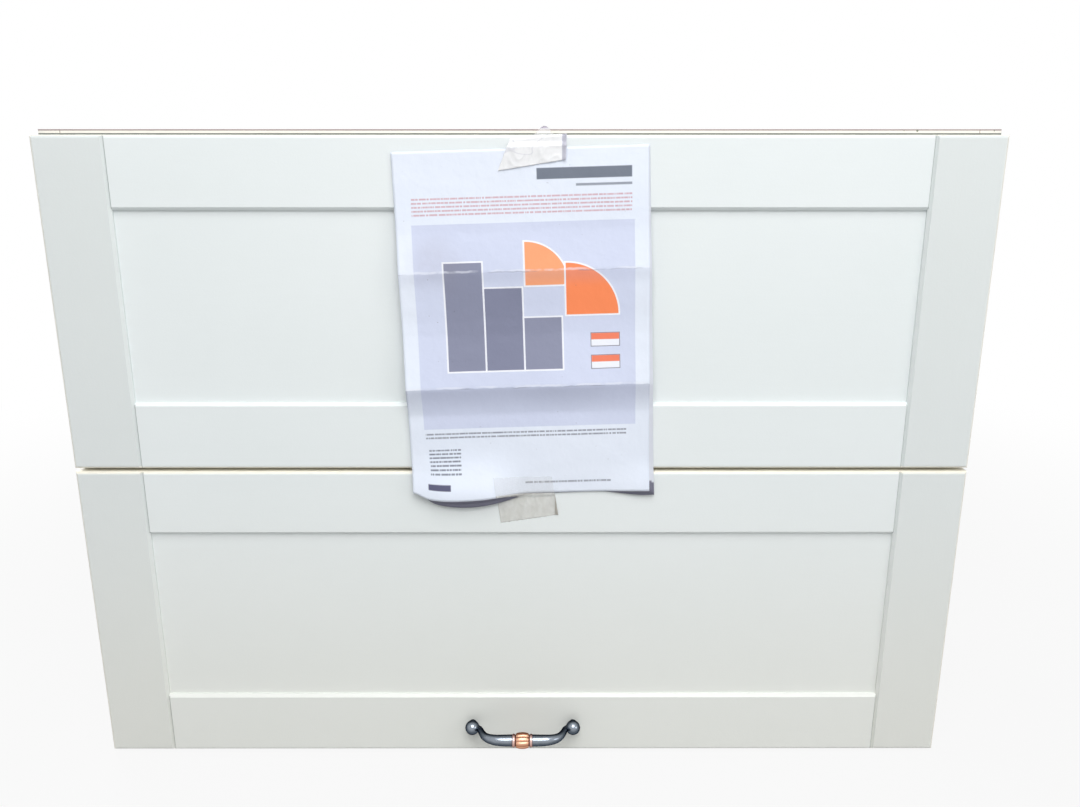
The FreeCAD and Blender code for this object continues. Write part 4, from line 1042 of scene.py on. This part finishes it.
def clear_tape(name, film, alpha, shade, edges, clings_from):
    """Film that is folded under at its right edge, and nearly unseen above `clings_from`."""
    tape = Finish(name, Roughness=0.18, IOR=1.5, Coat_Weight=0.3)
    creased = tape.cloud(150, 4, (1, 1, 0.4))
    wrinkle = tape.step(abs(tape.cloud(24, 2, (1, 1, 1.5), (7, 3, 1)) - 0.5), 0.014, 0.003)
    tone = tape.mix(creased, film, colour(250, 251, 252))
    folded = tape.step(tape.axis("X"), edges[1] - 3.4 * MM, edges[1] - 2.8 * MM)
    tone = tape.mix(folded * 0.7, tone, shade)
    tone = tape.mix(wrinkle * 0.25, tone, shade)
    tip = tape.step(tape.axis("Z"), CARCASE_TOP - 0.6 * MM, CARCASE_TOP + 0.6 * MM)
    tone = tape.mix(tip * 0.8, tone, colour(160, 150, 172))
    clings = tape.step(tape.axis("Z"), clings_from - 0.5 * MM, clings_from + 0.5 * MM)
    sheer = (alpha + 0.25 * creased + 0.3 * folded).least(1.0) * (1 - 0.75 * clings)
    tape.feed(Base_Color=tone, Alpha=sheer.most(tip * 0.85), Normal=tape.bump(creased, 0.00012))
    return tape.material


def face_rows(low, high, steps):
    """Rows up the face, where the tape lies on whatever is there."""
    return [(None, low + (high - low) * step / steps, 0.0) for step in range(steps)]


over_edge = [(FACE + EDGE_ROUND - (EDGE_ROUND + SKIN) * math.cos(math.radians(angle)),
              FLAP_TOP - EDGE_ROUND + (EDGE_ROUND + SKIN) * math.sin(math.radians(angle)), 0.0)
             for angle in range(0, 91, 10)]
tape_end = [(FACE + (4 + step) * MM, FLAP_TOP + SKIN, 7.0 * MM * ease(step / 7))
            for step in range(8)]
top_path = face_rows(FLAP_TOP - 24 * MM, FLAP_TOP - EDGE_ROUND, 26) + over_edge + tape_end
tape_top = strip("tape_over_edge", top_path, TOP_EDGES, (16 * MM, 1 * MM), 9 * MM, TOP_CRUMPLE, 3.0)
settle(tape_top, clear_tape("tape_film", colour(252, 253, 255), 0.72, colour(160, 160, 182),
                            TOP_EDGES, FLAP_TOP), "upper_flap", "clear_tape", "tape_top")
leaflet_foot = LEAFLET.z - SHEET_TALL / 2 * MM
low_path = face_rows(leaflet_foot - 25 * MM, SEAM - 4 * MM, 40)
tape_low = strip("tape_below_leaflet", low_path, LOW_EDGES, (-6 * MM, -6 * MM), 8 * MM, LOW_CRUMPLE,
                 8.0)
settle(tape_low, clear_tape("aged_tape_film", colour(222, 219, 208), 0.3, colour(150, 144, 130),
                            LOW_EDGES, leaflet_foot), "lower_flap", "clear_tape", "tape_bottom")

# %% [markdown]
# ## Screws
# The fittings are held by small pan-head screws with a cross recess. All of them are one screw,
# so it is modelled once and a Geometry Nodes tree sets a copy at each place. The places are read
# from the frame: every loose lump of a screw node is one screw, its long side is its axis, and
# its head is at the wider end.

# %% One screw


def cross_head_screw(length):
    """A screw along +Z with its head's seat at the origin; its length is in metres."""
    dome = ((-1.8, 0), (-1.8, 1.0), (-1.7, 1.9), (-1.4, 2.7), (-0.9, 3.3), (-0.3, 3.6), (0, 3.55),
            (0, 1.75), (length / MM - 2, 1.6), (length / MM, 0.3), (length / MM, 0))
    body = turned("screw_form", dome, (0, 0, 0), (0, 0, 1), 24)
    cutters = []
    for number, (wide, tall) in enumerate(((3.0, 0.72), (0.72, 3.0))):
        bpy.ops.mesh.primitive_cube_add(size=MM, location=(0, 0, -1.8 * MM))
        cutter = bpy.context.object
        cutter.scale = (wide, tall, 2.2)
        cutters.append(cutter)
        cut = body.modifiers.new(f"slot_{number}", "BOOLEAN")
        cut.operation = "DIFFERENCE"
        cut.object = cutter
    baked(body)
    for cutter in cutters:
        bpy.data.objects.remove(cutter)
    body.data.shade_flat()
    return body


def lumps(node):
    """The points of each loose lump of a node, in the order of the node's own points."""
    work = bmesh.new()
    work.from_mesh(nodes[node].data)
    bmesh.ops.remove_doubles(work, verts=work.verts, dist=1e-6)
    met = set()
    found = []
    for start in work.verts:
        if start in met:
            continue
        met.add(start)
        lump = [start]
        for vert in lump:
            beyond = [edge.other_vert(vert) for edge in vert.link_edges]
            fresh = [neighbour for neighbour in beyond if neighbour not in met]
            met.update(fresh)
            lump.extend(fresh)
        found.append([vert.co.copy() for vert in lump])
    work.free()
    return found


def seat_and_axis(points):
    """Where a screw's head sits, and the direction that its shank runs in."""
    low = Vector([min(point[k] for point in points) for k in range(3)])
    high = Vector([max(point[k] for point in points) for k in range(3)])
    size = high - low
    long_way = max(range(3), key=lambda k: size[k])
    centre = (low + high) / 2

    def spread(end):
        near = [point for point in points if abs(point[long_way] - end) < 0.2 * MM]
        return max((point - centre).length_squared - (point[long_way] - centre[long_way]) ** 2
                   for point in near)
    direction = Vector((0, 0, 0))
    direction[long_way] = 1.0 if spread(low[long_way]) > spread(high[long_way]) else -1.0
    seat = centre.copy()
    seat[long_way] = low[long_way] if direction[long_way] > 0 else high[long_way]
    return seat + direction * 1.8 * MM, direction


print("screw places:", {name: len(lumps(name)) for name in nodes if name.endswith("_screws")})

# %% [markdown]
# The tree below sets the screw on every point of a small mesh. Each point carries the direction of
# its screw, and a turn round that axis that is drawn once with a fixed seed, because no two
# screws stop at the same angle.

# %% Screws set by Geometry Nodes


def screw_tree(form):
    tree = Growth("set_screws", {"Seed": 4.0})
    way = tree.node("GeometryNodeInputNamedAttribute", {"data_type": "FLOAT_VECTOR"},
                    {"Name": "way"})
    aim = tree.node("FunctionNodeAlignRotationToVector", {"axis": "Z"}, {"Vector": way})
    seed = tree.node("FunctionNodeFloatToInt", {}, {0: tree.given("Seed")})
    stop = tree.node("FunctionNodeRandomValue", {"data_type": "FLOAT"},
                     {"Min": 0.0, "Max": math.pi / 2, "Seed": seed}, out=1)
    spin = tree.node("ShaderNodeCombineXYZ", {}, {2: stop})
    turn = tree.node("FunctionNodeEulerToRotation", {}, {0: spin})
    both = tree.node("FunctionNodeRotateRotation", {"rotation_space": "LOCAL"},
                     {"Rotation": aim, "Rotate By": turn})
    single = tree.node("GeometryNodeObjectInfo", {}, {"Object": form}, out="Geometry")
    placed = tree.node("GeometryNodeInstanceOnPoints", {}, {
        "Points": Value(tree, tree.entry.outputs["Geometry"]), "Instance": single,
        "Rotation": both})
    tree.end(placed, NICKEL, smooth=False)
    return tree


screw_form = cross_head_screw(13 * MM)
screws = screw_tree(screw_form)
for node in sorted(name for name in nodes if name.endswith("_screws")):
    seats = [seat_and_axis(points) for points in lumps(node)]
    group = mesh_piece(f"set_{node}", [seat for seat, way in seats], [])
    ways = group.data.attributes.new("way", "FLOAT_VECTOR", "POINT")
    ways.data.foreach_set("vector", [part for seat, way in seats for part in way])
    screws.grow(group, Seed=4)
    settle(group, None, body_of[node], "nickel", node)
bpy.data.objects.remove(screw_form)

# %% [markdown]
# ## Springs of the lift unit
# Inside each cover, strong wound springs push the crank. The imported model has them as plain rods
# between two seats. A coil is a path, so a Geometry Nodes spiral is swept with a round wire.

# %% Coils along the springs


def coil_tree():
    tree = Growth("wound_spring", {"Radius": 0.006, "Wire": 0.001, "Length": 0.128, "Turns": 30.0})
    spiral = tree.node("GeometryNodeCurveSpiral", {}, {
        "Resolution": 20, "Rotations": tree.given("Turns"), "Start Radius": tree.given("Radius"),
        "End Radius": tree.given("Radius"), "Height": tree.given("Length")})
    wire = tree.node("GeometryNodeCurvePrimitiveCircle", {}, {"Resolution": 8,
                                                             "Radius": tree.given("Wire")})
    swept = tree.node("GeometryNodeCurveToMesh", {}, {"Curve": spiral, "Profile Curve": wire,
                                                      "Fill Caps": True})
    tree.end(swept, SPRING_STEEL)
    return tree


def seat_plate(name, low, high, bevel):
    """A pressed plate between two corners, with its edges eased."""
    corners = [(x, y, z) for x in (low.x, high.x) for y in (low.y, high.y) for z in (low.z, high.z)]
    plate = mesh_piece(name, corners, [(0, 1, 3, 2), (4, 6, 7, 5), (0, 4, 5, 1), (2, 3, 7, 6),
                                       (0, 2, 6, 4), (1, 5, 7, 3)])
    ease_edges = plate.modifiers.new("eased", "BEVEL")
    ease_edges.width = bevel
    ease_edges.segments = 3
    baked(plate)
    plate.data.shade_flat()
    plate.data.materials.append(SPRING_STEEL)
    return outward(plate)


COIL_RADIUS = 7.2 * MM
COIL_PITCH = 15.8 * MM
COIL_WIRE = 1.15 * MM
SEAT_THICK = 3.0 * MM
SEAT_RIM = 1.4 * MM
coils = coil_tree()
for side_name in ("left", "right"):
    node = f"spring_pack_{side_name}"
    low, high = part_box(node)
    across = middle(f"lift_cover_{side_name}").x
    start, length = low.y + SEAT_THICK, high.y - low.y - 2 * SEAT_THICK
    set_of_coils = []
    for number in range(3):
        coil = mesh_piece(f"coil_{side_name}_{number}", [(0, 0, 0)], [])
        coils.grow(coil, Radius=COIL_RADIUS - COIL_WIRE, Wire=COIL_WIRE,
                   Length=length - 2 * COIL_WIRE, Turns=length / (2.3 * COIL_WIRE))
        level = high.z - SEAT_RIM - COIL_RADIUS - (2 - number) * COIL_PITCH
        coil.data.transform(Matrix.Translation((across, start + length - COIL_WIRE, level))
                            @ Matrix.Rotation(math.pi / 2, 4, "X"))
        set_of_coils.append(outward(coil))
    for name, y in (("front", low.y), ("rear", high.y - SEAT_THICK)):
        set_of_coils.append(seat_plate(f"coil_seat_{name}_{side_name}", Vector((low.x, y, low.z)),
                                       Vector((high.x, y + SEAT_THICK, high.z)), 0.6 * MM))
    settle(joined(set_of_coils, f"wound_springs_{side_name}"), None, "carcase", "spring_steel", node)

# %% [markdown]
# ## Floor and background
# The cabinet stands on a plain pale floor in a white room. Both are shown white to the camera and
# in reflections through Light Path, while the light that they throw on the object stays at a
# plain level. Near the object the floor keeps part of its own shading, so the shadow stays.

# %% Floor, backdrop and world
FLOOR_REACH = 30.0
ROOM_LIGHT = 0.4


def watched(tree):
    """1 for what the camera sees, also in a mirror or through glass, and 0 for thrown light."""
    rays = [tree.node("ShaderNodeLightPath", out=f"Is {kind} Ray")
            for kind in ("Camera", "Glossy", "Transmission")]
    return rays[0].most(rays[1]).most(rays[2])


def pale_floor():
    floor = Finish("pale_floor", Roughness=0.8)
    tone = floor.mix(floor.cloud(3, 2), colour(168, 168, 168), colour(174, 174, 174))
    floor.feed(Base_Color=tone)
    away = floor.node("ShaderNodeVectorMath", {"operation": "LENGTH"}, {0: floor.place()},
                      out="Value")
    share = watched(floor) * (0.9 + 0.1 * floor.step(away, 0.5, 1.6))
    glow = floor.node("ShaderNodeEmission", {}, {"Color": (1, 1, 1, 1), "Strength": 1.0})
    both = floor.node("ShaderNodeMixShader", {}, {0: share, 1: Value(floor, floor.shader.outputs[0]),
                                                  2: glow})
    floor.tree.links.new(both.socket, floor.end.inputs["Surface"])
    return floor.material


corner = FLOOR_REACH / 2
floor = mesh_piece("floor", [(-corner, -corner, 0), (corner, -corner, 0), (corner, corner, 0),
                             (-corner, corner, 0)], [(0, 1, 2, 3)])
floor.data.materials.append(pale_floor())

world = bpy.data.worlds.new("white_room")
bpy.context.scene.world = world
world.use_nodes = True
room = Tree(world.node_tree)
world.node_tree.nodes.clear()
strength = ROOM_LIGHT + (1 - ROOM_LIGHT) * watched(room)
sky = room.node("ShaderNodeBackground", {}, {"Color": (1, 1, 1, 1), "Strength": strength})
out = world.node_tree.nodes.new("ShaderNodeOutputWorld")
world.node_tree.links.new(sky.socket, out.inputs["Surface"])
print("white room with a floor of", FLOOR_REACH, "m")

# %% [markdown]
# ## Lamps
# Three large soft lamps are enough: one above and in front for the light of the room's ceiling,
# a weak one from the right that gives the rounded edges a second highlight, and one behind that
# keeps the back and the left side from going dark. Large lamps were chosen over suns, because
# the metal shows them as broad soft highlights.

# %% Soft lamps


def soft_lamp(name, place, aim, size, power):
    data = bpy.data.lights.new(name, "AREA")
    data.shape = "SQUARE"
    data.size = size
    data.energy = power
    lamp = bpy.data.objects.new(name, data)
    bpy.context.scene.collection.objects.link(lamp)
    lamp.location = place
    lamp.rotation_euler = (Vector(aim) - Vector(place)).to_track_quat("-Z", "Y").to_euler()
    print(name, "of", power, "W")


soft_lamp("ceiling_lamp", (0.1, -1.6, 1.9), (0, -0.3, 0.4), 1.4, 34)
soft_lamp("side_lamp", (2.6, -2.0, 1.2), (0, -0.3, 0.3), 1.2, 12)
soft_lamp("rear_lamp", (-2.0, 2.2, 1.5), (0, 0, 0.3), 1.6, 40)

# %% [markdown]
# ## Camera
# The photograph looks slightly down at the closed front. The camera's place, tilt and lens were
# fitted to the corners of the two flaps and the ends of the carcase strip above them.

# %% The photograph's view
CAMERA_PLACE = (0.0157, -1.0740, 0.5482)
CAMERA_PITCH = -14.74
CAMERA_YAW = -0.064
CAMERA_LENS = 29.74
camera_data = bpy.data.cameras.new("photo_camera")
camera_data.sensor_width = 36.0
camera_data.lens = CAMERA_LENS
camera_data.clip_start = 0.05
camera_data.clip_end = 100.0
camera = bpy.data.objects.new("photo_camera", camera_data)
bpy.context.scene.collection.objects.link(camera)
camera.location = CAMERA_PLACE
camera.rotation_euler = (math.radians(90 + CAMERA_PITCH), 0, math.radians(CAMERA_YAW))
bpy.context.scene.camera = camera
bpy.context.scene.view_settings.view_transform = "Standard"
print("camera looks down", -CAMERA_PITCH, "degrees")
